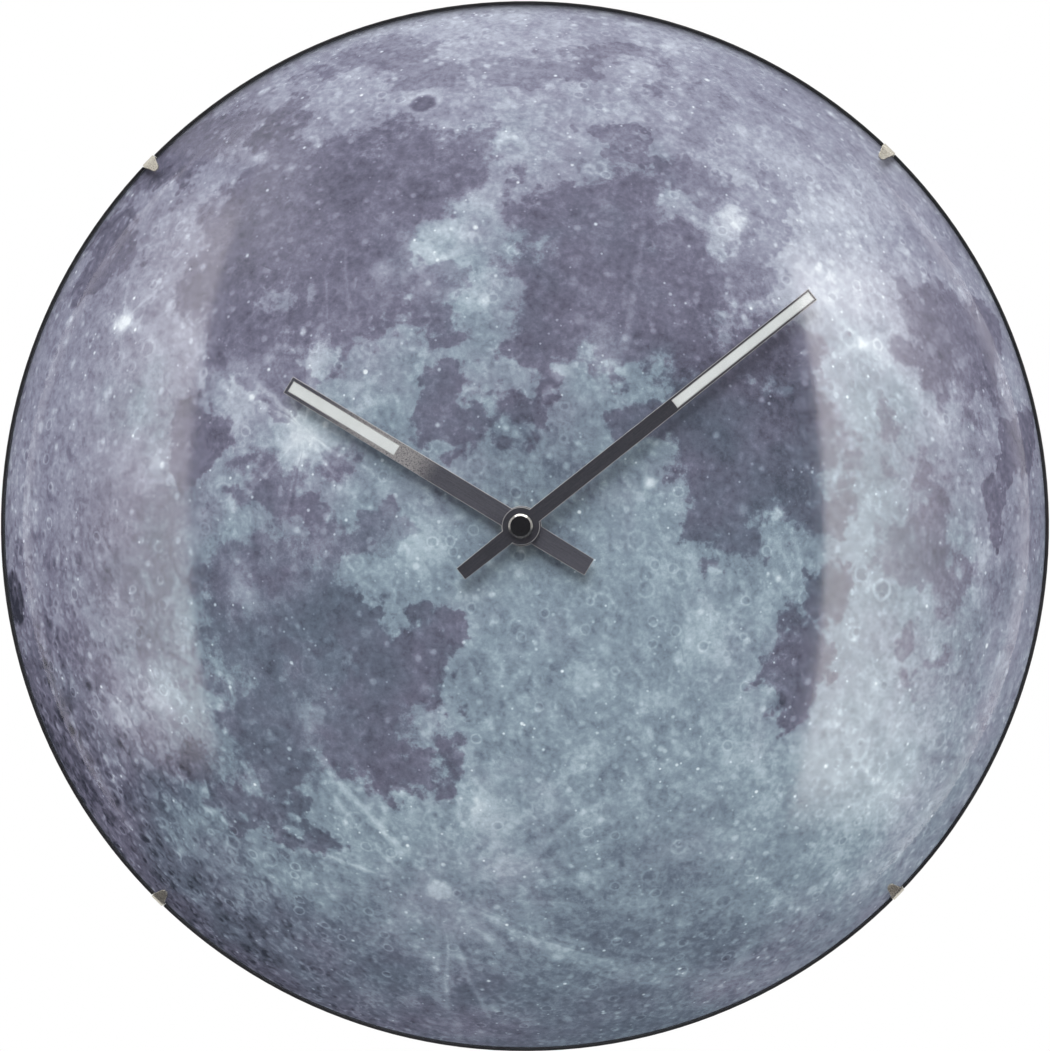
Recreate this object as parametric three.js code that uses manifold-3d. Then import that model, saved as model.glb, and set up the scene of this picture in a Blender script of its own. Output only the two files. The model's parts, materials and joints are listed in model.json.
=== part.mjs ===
// Quartz wall clock: domed glass over a printed dial on a black back panel, two hands and a quartz movement.
// Millimetres. Drawn with x to the right, y up and z from the wall to the viewer, then turned so that
// +Z is up.
import * as THREE from "three";
import { mergeVertices } from "three/addons/utils/BufferGeometryUtils.js";
import Module from "manifold-3d";

const wasm = await Module();
wasm.setup();

// Overall
const clockDiameter = 350;
const clockDepth = 53;
const hangerHeight = 76;
const seatGap = 0.1;
const overlap = 1;
const roundSides = 48;
const smallSides = 16;
const pivotSides = 8;

// Movement case
const wallToMovement = 3;
const movementSide = 56;
const movementDepth = 16;
const caseCorner = 3;
const caseWall = 1.3;
const caseFrontWall = 1.4;
const coverThickness = 1.2;
const coverSkirt = 1.2;
const coverSkirtWall = 0.9;
const bayWall = 1;
const postRadius = 1.8;
const postInset = 5;
const pegRadius = 1.26;

// Battery and its contacts
const batteryRadius = 7;
const batteryLength = 49;
const batteryNubRadius = 2.75;
const batteryNubLength = 1.5;
const batteryGap = 0.35;
const stripThickness = 0.4;
const stripWidth = 4.5;

// Back panel
const rubberThickness = 0.6;
const rubberRadius = 9;
const panelThickness = 2.5;
const rimWall = 0.9;
const rimSkirt = 2;
const lipBelowGlassTop = 0.7;
const ringClearance = 0.4;
const ringWall = 2.5;
const ribCount = 12;
const ribThickness = 2;
const ribHeight = 2;

// Dial and glass
const dialThickness = 0.8;
const glassThickness = 4;
const glassEdge = 2.5;
const glassClearance = 0.25;
const glassSteps = 6;

// Glass clips and their screws
const clipCount = 4;
const clipStartAngle = 45;
const clipThickness = 1;
const clipWidth = 4.8;
const clipTipWidth = 3;
const clipReach = 4.9;
const clipProud = 0.3;
const clipSlack = 0.6;
const clipScrewInset = 14;
const clipBossRadius = 4;
const clipBossHeight = 2.5;
const screwRadius = 1.2;
const screwHeadRadius = 2.6;
const screwHeadHeight = 1.5;
const screwSlotWidth = 0.8;
const screwSlotDepth = 0.8;
const screwSlotReach = 1.7;
const screwTipGap = 0.3;
const blindFloor = 0.5;

// Wall hanger
const hangerThickness = 1.2;
const hangerWallGap = 3.6;
const hangerWidth = 46;
const hangerLength = 26;
const hangerCorner = 4;
const hangerScrewSpacing = 34;
const hangerBossRadius = 3.2;
const keyholeRadius = 5;
const keyholeSlotWidth = 5;
const keyholeDrop = 11;
const keyholeBelowCentre = 5;

// Bush, washer and nut on the hand shaft
const bushRadius = 3.95;
const bushFlangeRadius = 6;
const bushFlangeThickness = 0.9;
const bushProud = 0.7;
const washerThickness = 0.5;
const washerRadius = 6.2;
const nutThickness = 2;
const nutAcrossFlats = 11;
const threadGap = 0.15;

// Shafts inside each other
const secondsArborRadius = 0.6;
const minuteArborBore = 0.85;
const minuteArborRadius = 1.5;
const hourPipeBore = 1.75;
const hourPipeRadius = 2.5;
const bushBore = 2.75;

// Hands: angles are clockwise from twelve, as in the photo
const handThickness = 0.7;
const handLevelGap = 0.3;
const pressGap = 0.12;
const pocketDepth = 0.3;
const stripProud = 0.1;
const pocketGap = 0.05;
const capRadius = 4.1;
const capHeight = 2.4;
const capEdge = 0.8;
const capRoof = 0.9;
const hourHand = {
  angle: 301.9,
  length: 91.1,
  tail: 26.4,
  hubWidth: 6.7,
  tipWidth: 6.3,
  bossRadius: 6.7,
  collarRadius: 4.2,
  collarHeight: 0.8,
  stripStart: 48.7,
  stripEnd: 89.9,
  stripWidth: 3.6,
};
const minuteHand = {
  angle: 52.3,
  length: 123.6,
  tail: 25.6,
  hubWidth: 5.2,
  tipWidth: 4.7,
  bossRadius: 6.3,
  collarRadius: 3.2,
  collarHeight: 1.6,
  stripStart: 65.3,
  stripEnd: 122.7,
  stripWidth: 3,
};

// Gear train: tooth counts, modules and layers
const pressureAngle = THREE.MathUtils.degToRad(32);
const addendum = 0.7;
const dedendum = 0.95;
const toothThinning = 0.15;
const pinionTeeth = 6;
const intermediateTeeth = 36;
const secondsTeeth = 30;
const thirdTeeth = 45;
const centreTeeth = 48;
const cannonTeeth = 10;
const reverseTeeth = 30;
const reversePinionTeeth = 8;
const hourTeeth = 32;
const centreModule = 0.425;
const cannonModule = 0.6;
const secondsModule = 0.64;
const rotorModule = 0.465;
const wheelThickness = 0.8;
const layerStep = 1.6;
const pinionOverlap = 0.3;
const arborRadius = 0.6;
const pivotRadius = 0.45;
const pivotClearance = 0.2;
const pivotDepth = 0.7;
const stemRadius = 1;
const plateThickness = 1;

// Motor, circuit and setting knob
const magnetRadius = 3;
const magnetHeight = 2.2;
const statorThickness = 1;
const statorGap = 0.6;
const statorRing = 2.6;
const statorArm = 3.8;
const statorLeft = -10;
const statorRight = 24;
const coilAxis = 23;
const coilRadius = 3;
const coilTube = 2;
const coilBore = 1.55;
const coilFlange = 0.8;
const coilLength = 23;
const coreWidth = 2.6;
const boardThickness = 1;
const boardLeft = -26;
const boardRight = -11;
const boardBottom = 12.5;
const boardTop = 26;
const boardPegRise = 2.5;
const boardPegLeft = 4;
const boardPegRight = 3;
const crystalInset = 4;
const chipInset = 4;
const crystalRadius = 1;
const crystalLength = 6;
const chipRadius = 2.2;
const chipHeight = 1;
const knobRadius = 5.5;
const knobThickness = 2.1;
const knobGrip = 0.5;
const knobRidges = 20;

// Levels along z, from the wall to the dome
const movementRear = wallToMovement;
const movementFront = movementRear + movementDepth;
const coverInner = movementRear + coverThickness;
const baseRear = coverInner + seatGap;
const caseInner = movementFront - caseFrontWall;
const rubberRear = movementFront + seatGap;
const panelRear = rubberRear + rubberThickness + seatGap;
const panelFront = panelRear + panelThickness;
const dialRear = panelFront + seatGap;
const dialFront = dialRear + dialThickness;
const washerRear = dialFront + seatGap;
const nutRear = washerRear + washerThickness + seatGap;
const bushFront = nutRear + nutThickness + bushProud;
const hourCollarRear = bushFront + handLevelGap;
const hourHandRear = hourCollarRear + hourHand.collarHeight;
const hourHandFront = hourHandRear + handThickness;
const hourPipeFront = hourHandFront + handLevelGap;
const minuteCollarRear = hourPipeFront + handLevelGap;
const minuteHandRear = minuteCollarRear + minuteHand.collarHeight;
const minuteHandFront = minuteHandRear + handThickness;
const capRear = minuteHandFront + seatGap;
const capFront = capRear + capHeight;
const minuteArborFront = capFront - capRoof - handLevelGap;
const glassRear = dialFront + seatGap;
const glassRimTop = glassRear + glassEdge;
const lipTop = glassRimTop - lipBelowGlassTop;

// Levels of the gear layers
const intermediateRear = coverInner + layerStep / 2;
const secondsRear = intermediateRear + layerStep;
const thirdRear = secondsRear + layerStep;
const centreRear = thirdRear + layerStep;
const plateRear = centreRear + layerStep;
const plateFront = plateRear + plateThickness;
const reverseRear = plateFront + layerStep / 2;
const hourWheelRear = reverseRear + layerStep + pinionOverlap;
const statorRear = thirdRear + layerStep / 4;
const coreRear = statorRear - seatGap - statorThickness;
const boardRear = coreRear - layerStep / 4;

// Radii at the rim and the sphere of the dome
const clockRadius = clockDiameter / 2;
const rimInner = clockRadius - rimWall;
const glassRadius = rimInner - glassClearance;
const domeRise = clockDepth - glassRimTop;
const domeRadius = (glassRadius ** 2 + domeRise ** 2) / (2 * domeRise);
const domeCentre = clockDepth - domeRadius;

// Stand-off ring, wide enough to go round the hanger
const hangerMiddle = hangerHeight - keyholeBelowCentre;
const hangerTop = hangerMiddle + hangerLength / 2;
const ringInner = Math.hypot(hangerWidth / 2, hangerTop) + ringClearance;
const ringRadius = ringInner + ringWall;

// Axes of the gear train around the hand shaft
const centreAxis = [0, 0];
const thirdDistance = (centreModule * (pinionTeeth + centreTeeth)) / 2;
const thirdModule = (2 * thirdDistance) / (pinionTeeth + thirdTeeth);
const reverseDistance = (cannonModule * (cannonTeeth + reverseTeeth)) / 2;
const hourModule = (2 * reverseDistance) / (reversePinionTeeth + hourTeeth);
const intermediateDistance = (secondsModule * (pinionTeeth + secondsTeeth)) / 2;
const rotorDistance = (rotorModule * (pinionTeeth + intermediateTeeth)) / 2;
const thirdDirection = Math.PI;
const reverseDirection = 0;
const intermediateDirection = Math.PI / 2;
const rotorDirection = THREE.MathUtils.degToRad(15);
const thirdAxis = along(centreAxis, thirdDirection, thirdDistance);
const reverseAxis = along(centreAxis, reverseDirection, reverseDistance);
const intermediateAxis = along(centreAxis, intermediateDirection, intermediateDistance);
const rotorAxis = along(intermediateAxis, rotorDirection, rotorDistance);

// Inside of the movement case
const caseInside = movementSide / 2 - caseWall;
const bayHeight = 2 * (batteryRadius + batteryGap);
const bayTop = -caseInside + bayHeight;
const chamberBottom = bayTop + bayWall;
const batteryY = -caseInside + batteryRadius + batteryGap;
const batteryZ = caseInner - batteryGap - batteryRadius;
const batteryRight = batteryLength / 2 + batteryNubLength / 2;
const batteryLeft = batteryRight - batteryNubLength - batteryLength;
const stripRear = boardRear - seatGap * 5;
const stripFront = stripRear + stripWidth;
const postCentres = [
  [-caseInside + postInset, chamberBottom + postInset / 2],
  [caseInside - postInset, chamberBottom + postInset / 2],
  [-caseInside + postInset, boardBottom + postRadius],
  [caseInside - postInset, boardBottom + postRadius],
];
const plateEdge = caseInside - 3 * stripThickness;
const plateTop = coilAxis - coilRadius - layerStep;
const boardPegs = [
  [boardLeft + boardPegLeft, boardBottom + boardPegRise],
  [boardRight - boardPegRight, boardBottom + boardPegRise],
];
const statorPegs = [
  [statorLeft + statorArm / 2, plateTop - statorArm / 2],
  [statorRight - statorArm / 2, plateTop - statorArm],
];

function along(from, direction, distance) {
  return [from[0] + distance * Math.cos(direction), from[1] + distance * Math.sin(direction)];
}

// Solids
function solid(geometry) {
  const plain = geometry.clone();
  plain.deleteAttribute("normal");
  plain.deleteAttribute("uv");
  const merged = mergeVertices(plain, 1e-4);
  return new wasm.Manifold(
    new wasm.Mesh({
      numProp: 3,
      vertProperties: new Float32Array(merged.attributes.position.array),
      triVerts: new Uint32Array(merged.index.array),
    }),
  );
}

function toGeometry(body) {
  const mesh = body.getMesh();
  const geometry = new THREE.BufferGeometry();
  geometry.setAttribute("position", new THREE.BufferAttribute(mesh.vertProperties, 3));
  geometry.setIndex(new THREE.BufferAttribute(mesh.triVerts, 1));
  geometry.computeVertexNormals();
  return geometry;
}

function join(first, ...others) {
  return others.reduce((body, other) => body.add(other), first);
}

function cut(first, ...others) {
  return others.reduce((body, other) => body.subtract(other), first);
}

function extrude(shape, rear, front, curveSegments = 6) {
  const geometry = new THREE.ExtrudeGeometry(shape, {
    depth: front - rear,
    bevelEnabled: false,
    curveSegments,
  });
  return solid(geometry.translate(0, 0, rear));
}

function polygon(points) {
  return new THREE.Shape(points.map(([x, y]) => new THREE.Vector2(x, y)));
}

// Turns a closed profile of [radius, level] points about the z axis
function turned(profile, sides) {
  const points = profile.map(([radius, level]) => new THREE.Vector2(radius, level));
  return solid(new THREE.LatheGeometry(points, sides).rotateX(Math.PI / 2));
}

function tube(outer, inner, rear, front, sides) {
  const profile = [
    [inner, rear],
    [outer, rear],
    [outer, front],
    [inner, front],
    [inner, rear],
  ];
  return turned(profile, sides);
}

function rod([x, y], radius, rear, front, sides = smallSides) {
  const geometry = new THREE.CylinderGeometry(radius, radius, front - rear, sides);
  geometry.rotateX(Math.PI / 2).translate(x, y, (rear + front) / 2);
  return solid(geometry);
}

// A round bar lying along x
function barAlongX(x0, x1, y, z, radius, sides = smallSides) {
  const geometry = new THREE.CylinderGeometry(radius, radius, x1 - x0, sides);
  geometry.rotateZ(-Math.PI / 2).translate((x0 + x1) / 2, y, z);
  return solid(geometry);
}

function block(x0, x1, y0, y1, z0, z1) {
  const geometry = new THREE.BoxGeometry(x1 - x0, y1 - y0, z1 - z0);
  return solid(geometry.translate((x0 + x1) / 2, (y0 + y1) / 2, (z0 + z1) / 2));
}

function roundedRectangle(width, height, corner) {
  const x = width / 2 - corner;
  const y = height / 2 - corner;
  const shape = new THREE.Shape();
  shape.absarc(x, y, corner, 0, Math.PI / 2);
  shape.absarc(-x, y, corner, Math.PI / 2, Math.PI);
  shape.absarc(-x, -y, corner, Math.PI, 1.5 * Math.PI);
  shape.absarc(x, -y, corner, 1.5 * Math.PI, 2 * Math.PI);
  return shape;
}

// Extrudes a side profile of [radius, level] points across the given width, for a piece on the x axis
function acrossRadius(profile, width) {
  const geometry = new THREE.ExtrudeGeometry(polygon(profile), { depth: width, bevelEnabled: false });
  return solid(geometry.rotateX(Math.PI / 2).translate(0, width / 2, 0));
}

function turnBy(body, degrees) {
  return body.rotate([0, 0, degrees]);
}

function clipAngles() {
  return Array.from({ length: clipCount }, (unused, index) => clipStartAngle + (360 / clipCount) * index);
}

function domeLevel(radius) {
  return domeCentre + Math.sqrt(domeRadius ** 2 - radius ** 2);
}

// Gears
function involute(radius, baseRadius) {
  const ratio = Math.max(radius / baseRadius, 1);
  return Math.sqrt(ratio ** 2 - 1) - Math.acos(1 / ratio);
}

// A toothed disc; phase is the direction that a tooth points in
function gear(teeth, module, axis, phase, rear, front) {
  const pitchRadius = (teeth * module) / 2;
  const baseRadius = pitchRadius * Math.cos(pressureAngle);
  const rootRadius = pitchRadius - dedendum * module;
  const tipRadius = pitchRadius + addendum * module;
  const halfTooth = Math.PI / (2 * teeth) - (toothThinning * module) / pitchRadius;
  const halfAtBase = halfTooth + involute(pitchRadius, baseRadius);
  const fewTeeth = rootRadius < baseRadius;
  const flank = fewTeeth ? [rootRadius, baseRadius, pitchRadius, tipRadius] : [rootRadius, tipRadius];
  const points = [];
  for (let tooth = 0; tooth < teeth; tooth += 1) {
    const middle = phase + (2 * Math.PI * tooth) / teeth;
    const halfAt = (radius) => halfAtBase - involute(radius, baseRadius);
    const rising = flank.map((radius) => along(axis, middle - halfAt(radius), radius));
    const falling = flank.map((radius) => along(axis, middle + halfAt(radius), radius));
    points.push(...rising, ...falling.reverse());
  }
  return extrude(polygon(points), rear, front);
}

// The phase that puts a gap of the second gear where the first gear's tooth points
function gapFacing(direction, teeth) {
  return direction + Math.PI + Math.PI / teeth;
}

// An arbor with a thinner pivot at each end
function arbor(axis, rear, front, pivotLength) {
  return join(
    rod(axis, pivotRadius, rear - pivotLength, front + pivotLength, pivotSides),
    rod(axis, arborRadius, rear, front, pivotSides),
  );
}

function pivotHole(axis, rear, front) {
  return rod(axis, pivotRadius + pivotClearance, rear, front, pivotSides);
}

// Back panel
function panelRib(angle) {
  const profile = [
    [ringRadius - ringWall / 2, panelRear - ribHeight],
    [rimInner + rimWall / 2, panelRear - ribHeight],
    [rimInner + rimWall / 2, panelRear + panelThickness / 2],
    [ringRadius - ringWall / 2, panelRear + panelThickness / 2],
  ];
  return turnBy(acrossRadius(profile, ribThickness), angle);
}

function clipBoss(angle) {
  const centre = [clockRadius - clipScrewInset, 0];
  const boss = rod(centre, clipBossRadius, panelRear - clipBossHeight, panelRear + panelThickness / 2);
  return turnBy(boss, angle);
}

function clipBossHole(angle) {
  const centre = [clockRadius - clipScrewInset, 0];
  const start = panelRear - clipBossHeight - overlap;
  const hole = rod(centre, screwRadius + threadGap, start, panelFront - blindFloor, pivotSides);
  return turnBy(hole, angle);
}

function clipNotch(angle) {
  const half = (clipWidth + clipSlack) / 2;
  const inner = clockRadius + clipProud - clipThickness - clipSlack / 2;
  const rear = panelRear - rimSkirt - overlap;
  const notch = block(inner, clockRadius + overlap, -half, half, rear, lipTop + overlap);
  return turnBy(notch, angle);
}

const hangerScrewCentres = [-1, 1].map((side) => [(side * hangerScrewSpacing) / 2, hangerMiddle]);

function backPanel() {
  const hole = bushRadius + threadGap;
  const disc = turned(
    [
      [hole, panelRear],
      [ringInner, panelRear],
      [ringInner, 0],
      [ringRadius, 0],
      [ringRadius, panelRear],
      [rimInner, panelRear],
      [rimInner, panelRear - rimSkirt],
      [clockRadius, panelRear - rimSkirt],
      [clockRadius, lipTop],
      [rimInner, lipTop],
      [rimInner, panelFront],
      [hole, panelFront],
      [hole, panelRear],
    ],
    roundSides,
  );
  const ribs = Array.from({ length: ribCount }, (unused, index) => panelRib((360 / ribCount) * index));
  const hangerFront = hangerWallGap + hangerThickness;
  const hangerBosses = hangerScrewCentres.map((centre) =>
    rod(centre, hangerBossRadius, hangerFront + seatGap, panelRear + panelThickness / 2),
  );
  const hangerHoles = hangerScrewCentres.map((centre) =>
    rod(centre, screwRadius + threadGap, hangerFront - overlap, panelRear, pivotSides),
  );
  const filled = join(disc, ...ribs, ...clipAngles().map(clipBoss), ...hangerBosses);
  return cut(filled, ...clipAngles().map(clipNotch), ...clipAngles().map(clipBossHole), ...hangerHoles);
}

// Dial and glass
function dialSheet() {
  return tube(glassRadius, bushRadius + threadGap, dialRear, dialFront, roundSides);
}

function domeGlass() {
  const innerRadius = domeRadius - glassThickness;
  const innerRim = Math.sqrt(innerRadius ** 2 - (glassRear - domeCentre) ** 2);
  const profile = [];
  for (let step = 0; step <= glassSteps; step += 1) {
    const radius = (innerRim * step) / glassSteps;
    profile.push([radius, domeCentre + Math.sqrt(innerRadius ** 2 - radius ** 2)]);
  }
  profile.push([glassRadius, glassRear]);
  for (let step = glassSteps; step >= 0; step -= 1) {
    const radius = (glassRadius * step) / glassSteps;
    profile.push([radius, domeLevel(radius)]);
  }
  return turned(profile, roundSides);
}

// Clips that hold the glass, each bent from one strip of sheet
const clipRearFront = panelRear - clipBossHeight - seatGap;
const clipRear = clipRearFront - clipThickness;
const clipOuter = clockRadius + clipProud;
const clipLegInner = clipOuter - clipThickness;
const clipTip = clipOuter - clipReach;
const clipSlope = (domeLevel(glassRadius) - domeLevel(clipTip)) / (glassRadius - clipTip);

function clipUnderside(radius) {
  return domeLevel(clipTip) + seatGap + clipSlope * (radius - clipTip);
}

function clipTab() {
  const rise = clipThickness * Math.sqrt(1 + clipSlope ** 2);
  const profile = [
    [clipTip, clipUnderside(clipTip)],
    [clipOuter, clipUnderside(clipOuter)],
    [clipOuter, clipUnderside(clipOuter) + rise],
    [clipTip, clipUnderside(clipTip) + rise],
  ];
  const tipRadius = clipTipWidth / 2;
  const plan = new THREE.Shape();
  plan.moveTo(clipOuter, -clipWidth / 2);
  plan.lineTo(clipOuter, clipWidth / 2);
  plan.absarc(clipTip + tipRadius, 0, tipRadius, Math.PI / 2, 1.5 * Math.PI);
  return acrossRadius(profile, clipWidth).intersect(extrude(plan, panelRear, clockDepth));
}

function glassClip(angle) {
  const screwCentre = [clockRadius - clipScrewInset, 0];
  const inner = screwCentre[0] - clipBossRadius;
  const legTop = clipUnderside(clipOuter) + clipThickness / 2;
  const leg = acrossRadius(
    [
      [inner, clipRear],
      [clipOuter, clipRear],
      [clipOuter, legTop],
      [clipLegInner, legTop],
      [clipLegInner, clipRearFront],
      [inner, clipRearFront],
    ],
    clipWidth,
  );
  const holeRadius = screwRadius + threadGap;
  const hole = rod(screwCentre, holeRadius, clipRear - overlap, clipRearFront + overlap, pivotSides);
  return turnBy(cut(join(leg, clipTab()), hole), angle);
}

// A cross-head screw whose head bears on a face at the given level
function screw(centre, headFront, tip) {
  const headRear = headFront - screwHeadHeight;
  const body = join(
    rod(centre, screwHeadRadius, headRear, headFront, smallSides),
    rod(centre, screwRadius, headFront - screwHeadHeight / 2, tip, pivotSides),
  );
  const [x, y] = centre;
  const reach = screwSlotReach;
  const half = screwSlotWidth / 2;
  const slotTop = headRear + screwSlotDepth;
  return cut(
    body,
    block(x - reach, x + reach, y - half, y + half, headRear - overlap, slotTop),
    block(x - half, x + half, y - reach, y + reach, headRear - overlap, slotTop),
  );
}

function clipScrew(angle) {
  const tip = panelFront - blindFloor - screwTipGap;
  return turnBy(screw([clockRadius - clipScrewInset, 0], clipRear - seatGap, tip), angle);
}

// Wall hanger: the keyhole's upper end is where the nail bears
function wallHanger() {
  const plate = extrude(
    roundedRectangle(hangerWidth, hangerLength, hangerCorner),
    hangerWallGap,
    hangerWallGap + hangerThickness,
  ).translate([0, hangerMiddle, 0]);
  const rear = hangerWallGap - overlap;
  const front = hangerWallGap + hangerThickness + overlap;
  const half = keyholeSlotWidth / 2;
  const slotTop = hangerHeight - half;
  return cut(
    plate,
    rod([0, hangerHeight - keyholeDrop], keyholeRadius, rear, front),
    rod([0, slotTop], half, rear, front),
    block(-half, half, hangerHeight - keyholeDrop, slotTop, rear, front),
    ...hangerScrewCentres.map((centre) => rod(centre, screwRadius + threadGap, rear, front, pivotSides)),
  );
}

function hangerScrew(centre) {
  return screw(centre, hangerWallGap - seatGap, panelRear - screwTipGap);
}

// Movement case, cover and middle plate
function caseOutline(rear, front) {
  return extrude(roundedRectangle(movementSide, movementSide, caseCorner), rear, front);
}

function movementCase() {
  const below = baseRear - overlap;
  const chamber = block(-caseInside, caseInside, chamberBottom, caseInside, below, caseInner);
  const bay = block(-caseInside, caseInside, -caseInside, bayTop, below, caseInner);
  const slotWidth = 2 * stripThickness;
  const slots = [-1, 1].map((side) => {
    const x = side * (caseInside - slotWidth / 2);
    return block(
      x - slotWidth / 2,
      x + slotWidth / 2,
      bayTop - bayWall / 2,
      chamberBottom + bayWall / 2,
      stripRear - stripThickness,
      stripFront + stripThickness,
    );
  });
  const posts = postCentres.map((centre) =>
    rod(centre, postRadius, plateFront + seatGap, caseInner + caseFrontWall / 2, pivotSides),
  );
  const shell = cut(caseOutline(baseRear, movementFront), chamber, bay, ...slots);
  return cut(
    join(shell, ...posts),
    rod(centreAxis, bushRadius + threadGap, caseInner - overlap, movementFront + overlap),
    pivotHole(reverseAxis, caseInner - overlap, caseInner + pivotDepth + seatGap),
  );
}

function movementCover() {
  const edge = chamberBottom - bayWall / 2;
  const kept = block(-movementSide, movementSide, edge, movementSide, 0, movementFront);
  const plate = caseOutline(movementRear, coverInner).intersect(kept);
  const outer = caseInside - 2 * seatGap;
  const inner = outer - coverSkirtWall;
  const bottom = chamberBottom + 2 * seatGap;
  const skirtRear = coverInner - coverThickness / 2;
  const skirtFront = coverInner + coverSkirt;
  const skirt = cut(
    block(-outer, outer, bottom, outer, skirtRear, skirtFront),
    block(-inner, inner, bottom + coverSkirtWall, inner, skirtRear - overlap, skirtFront + overlap),
  );
  const holes = [centreAxis, thirdAxis, intermediateAxis, rotorAxis].map((axis) =>
    pivotHole(axis, coverInner - pivotDepth - seatGap, coverInner + overlap),
  );
  const stemHoleRadius = stemRadius + pivotClearance;
  const stemHole = rod(reverseAxis, stemHoleRadius, movementRear - overlap, coverInner + overlap, pivotSides);
  return cut(join(plate, skirt), ...holes, stemHole);
}

function middlePlate() {
  const plate = block(-plateEdge, plateEdge, chamberBottom + bayWall / 2, plateTop, plateRear, plateFront);
  const boardSeat = boardRear + boardThickness + seatGap;
  const statorSeat = statorRear + statorThickness + seatGap;
  const inside = plateRear + plateThickness / 2;
  const pegs = [
    ...boardPegs.map((centre) => rod(centre, pegRadius, boardSeat, inside, pivotSides)),
    ...statorPegs.map((centre) => rod(centre, pegRadius, statorSeat, inside, pivotSides)),
  ];
  const rear = plateRear - overlap;
  const front = plateFront + overlap;
  return cut(
    join(plate, ...pegs),
    ...[thirdAxis, intermediateAxis, rotorAxis].map((axis) => pivotHole(axis, rear, front)),
    rod(centreAxis, minuteArborRadius + pivotClearance, rear, front),
    rod(reverseAxis, stemRadius + pivotClearance, rear, front, pivotSides),
  );
}

function shaftBush() {
  const flangeFront = caseInner - seatGap;
  const flangeRear = flangeFront - bushFlangeThickness;
  return turned(
    [
      [bushBore, flangeRear],
      [bushFlangeRadius, flangeRear],
      [bushFlangeRadius, flangeFront],
      [bushRadius, flangeFront],
      [bushRadius, bushFront],
      [bushBore, bushFront],
      [bushBore, flangeRear],
    ],
    smallSides,
  );
}

function rubberWasher() {
  return tube(rubberRadius, bushRadius + threadGap, rubberRear, rubberRear + rubberThickness, smallSides);
}

function brassWasher() {
  return tube(washerRadius, bushRadius + threadGap, washerRear, washerRear + washerThickness, smallSides);
}

function bushNut() {
  const corner = nutAcrossFlats / Math.sqrt(3);
  const front = nutRear + nutThickness;
  const blank = rod(centreAxis, corner, nutRear, front, 6);
  return cut(blank, rod(centreAxis, bushRadius + threadGap, nutRear - overlap, front + overlap));
}

// Hands, drawn pointing along x and turned to their angle
function placeHand(body, hand) {
  return turnBy(body, 90 - hand.angle);
}

function handBody(hand, collarRear, rear, front, shaftRadius) {
  const bar = extrude(
    polygon([
      [-hand.tail, -hand.tipWidth / 2],
      [0, -hand.hubWidth / 2],
      [hand.length, -hand.tipWidth / 2],
      [hand.length, hand.tipWidth / 2],
      [0, hand.hubWidth / 2],
      [-hand.tail, hand.tipWidth / 2],
    ]),
    rear,
    front,
  );
  const half = hand.stripWidth / 2 + pocketGap;
  const pocket = block(
    hand.stripStart - pocketGap,
    hand.stripEnd + pocketGap,
    -half,
    half,
    front - pocketDepth,
    front + overlap,
  );
  const boss = rod(centreAxis, hand.bossRadius, rear, front, 2 * smallSides);
  const collar = rod(centreAxis, hand.collarRadius, collarRear, (rear + front) / 2);
  const bore = rod(centreAxis, shaftRadius + pressGap, collarRear - overlap, front + overlap);
  return placeHand(cut(join(bar, boss, collar), bore, pocket), hand);
}

function handStrip(hand, front) {
  const half = hand.stripWidth / 2;
  const rear = front - pocketDepth + pocketGap;
  return placeHand(block(hand.stripStart, hand.stripEnd, -half, half, rear, front + stripProud), hand);
}

function handCap() {
  const bore = minuteArborRadius + pressGap;
  const bend = capEdge * (1 - Math.SQRT1_2);
  return turned(
    [
      [0, capFront - capRoof],
      [bore, capFront - capRoof],
      [bore, capRear],
      [capRadius, capRear],
      [capRadius, capFront - capEdge],
      [capRadius - bend, capFront - bend],
      [capRadius - capEdge, capFront],
      [0, capFront],
    ],
    2 * smallSides,
  );
}

// Wheels and arbors
function minuteArbor() {
  const collarRear = centreRear - 2.5 * seatGap - pinionOverlap;
  const collarFront = collarRear + pinionOverlap;
  const pinionRear = plateFront + layerStep / 4;
  const pinionFront = reverseRear + wheelThickness + pinionOverlap;
  const shaft = turned(
    [
      [minuteArborBore, collarRear],
      [minuteArborRadius + arborRadius, collarRear],
      [minuteArborRadius + arborRadius, collarFront],
      [minuteArborRadius, collarFront],
      [minuteArborRadius, minuteArborFront],
      [minuteArborBore, minuteArborFront],
      [minuteArborBore, collarRear],
    ],
    smallSides,
  );
  const pinion = gear(cannonTeeth, cannonModule, centreAxis, reverseDirection, pinionRear, pinionFront);
  const bore = rod(centreAxis, minuteArborBore, pinionRear - overlap, pinionFront + overlap);
  return join(shaft, cut(pinion, bore));
}

function clutchSpring() {
  const rear = centreRear + wheelThickness + 1.5 * seatGap;
  const bore = minuteArborRadius + pivotClearance;
  return tube(2 * minuteArborRadius, bore, rear, rear + pinionOverlap, smallSides);
}

function hourWheel() {
  const front = hourWheelRear + wheelThickness;
  const wheel = gear(
    hourTeeth,
    hourModule,
    centreAxis,
    gapFacing(reverseDirection + Math.PI, hourTeeth),
    hourWheelRear,
    front,
  );
  const bore = rod(centreAxis, hourPipeBore, hourWheelRear - overlap, front + overlap);
  return join(cut(wheel, bore), tube(hourPipeRadius, hourPipeBore, hourWheelRear, hourPipeFront, smallSides));
}

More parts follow.
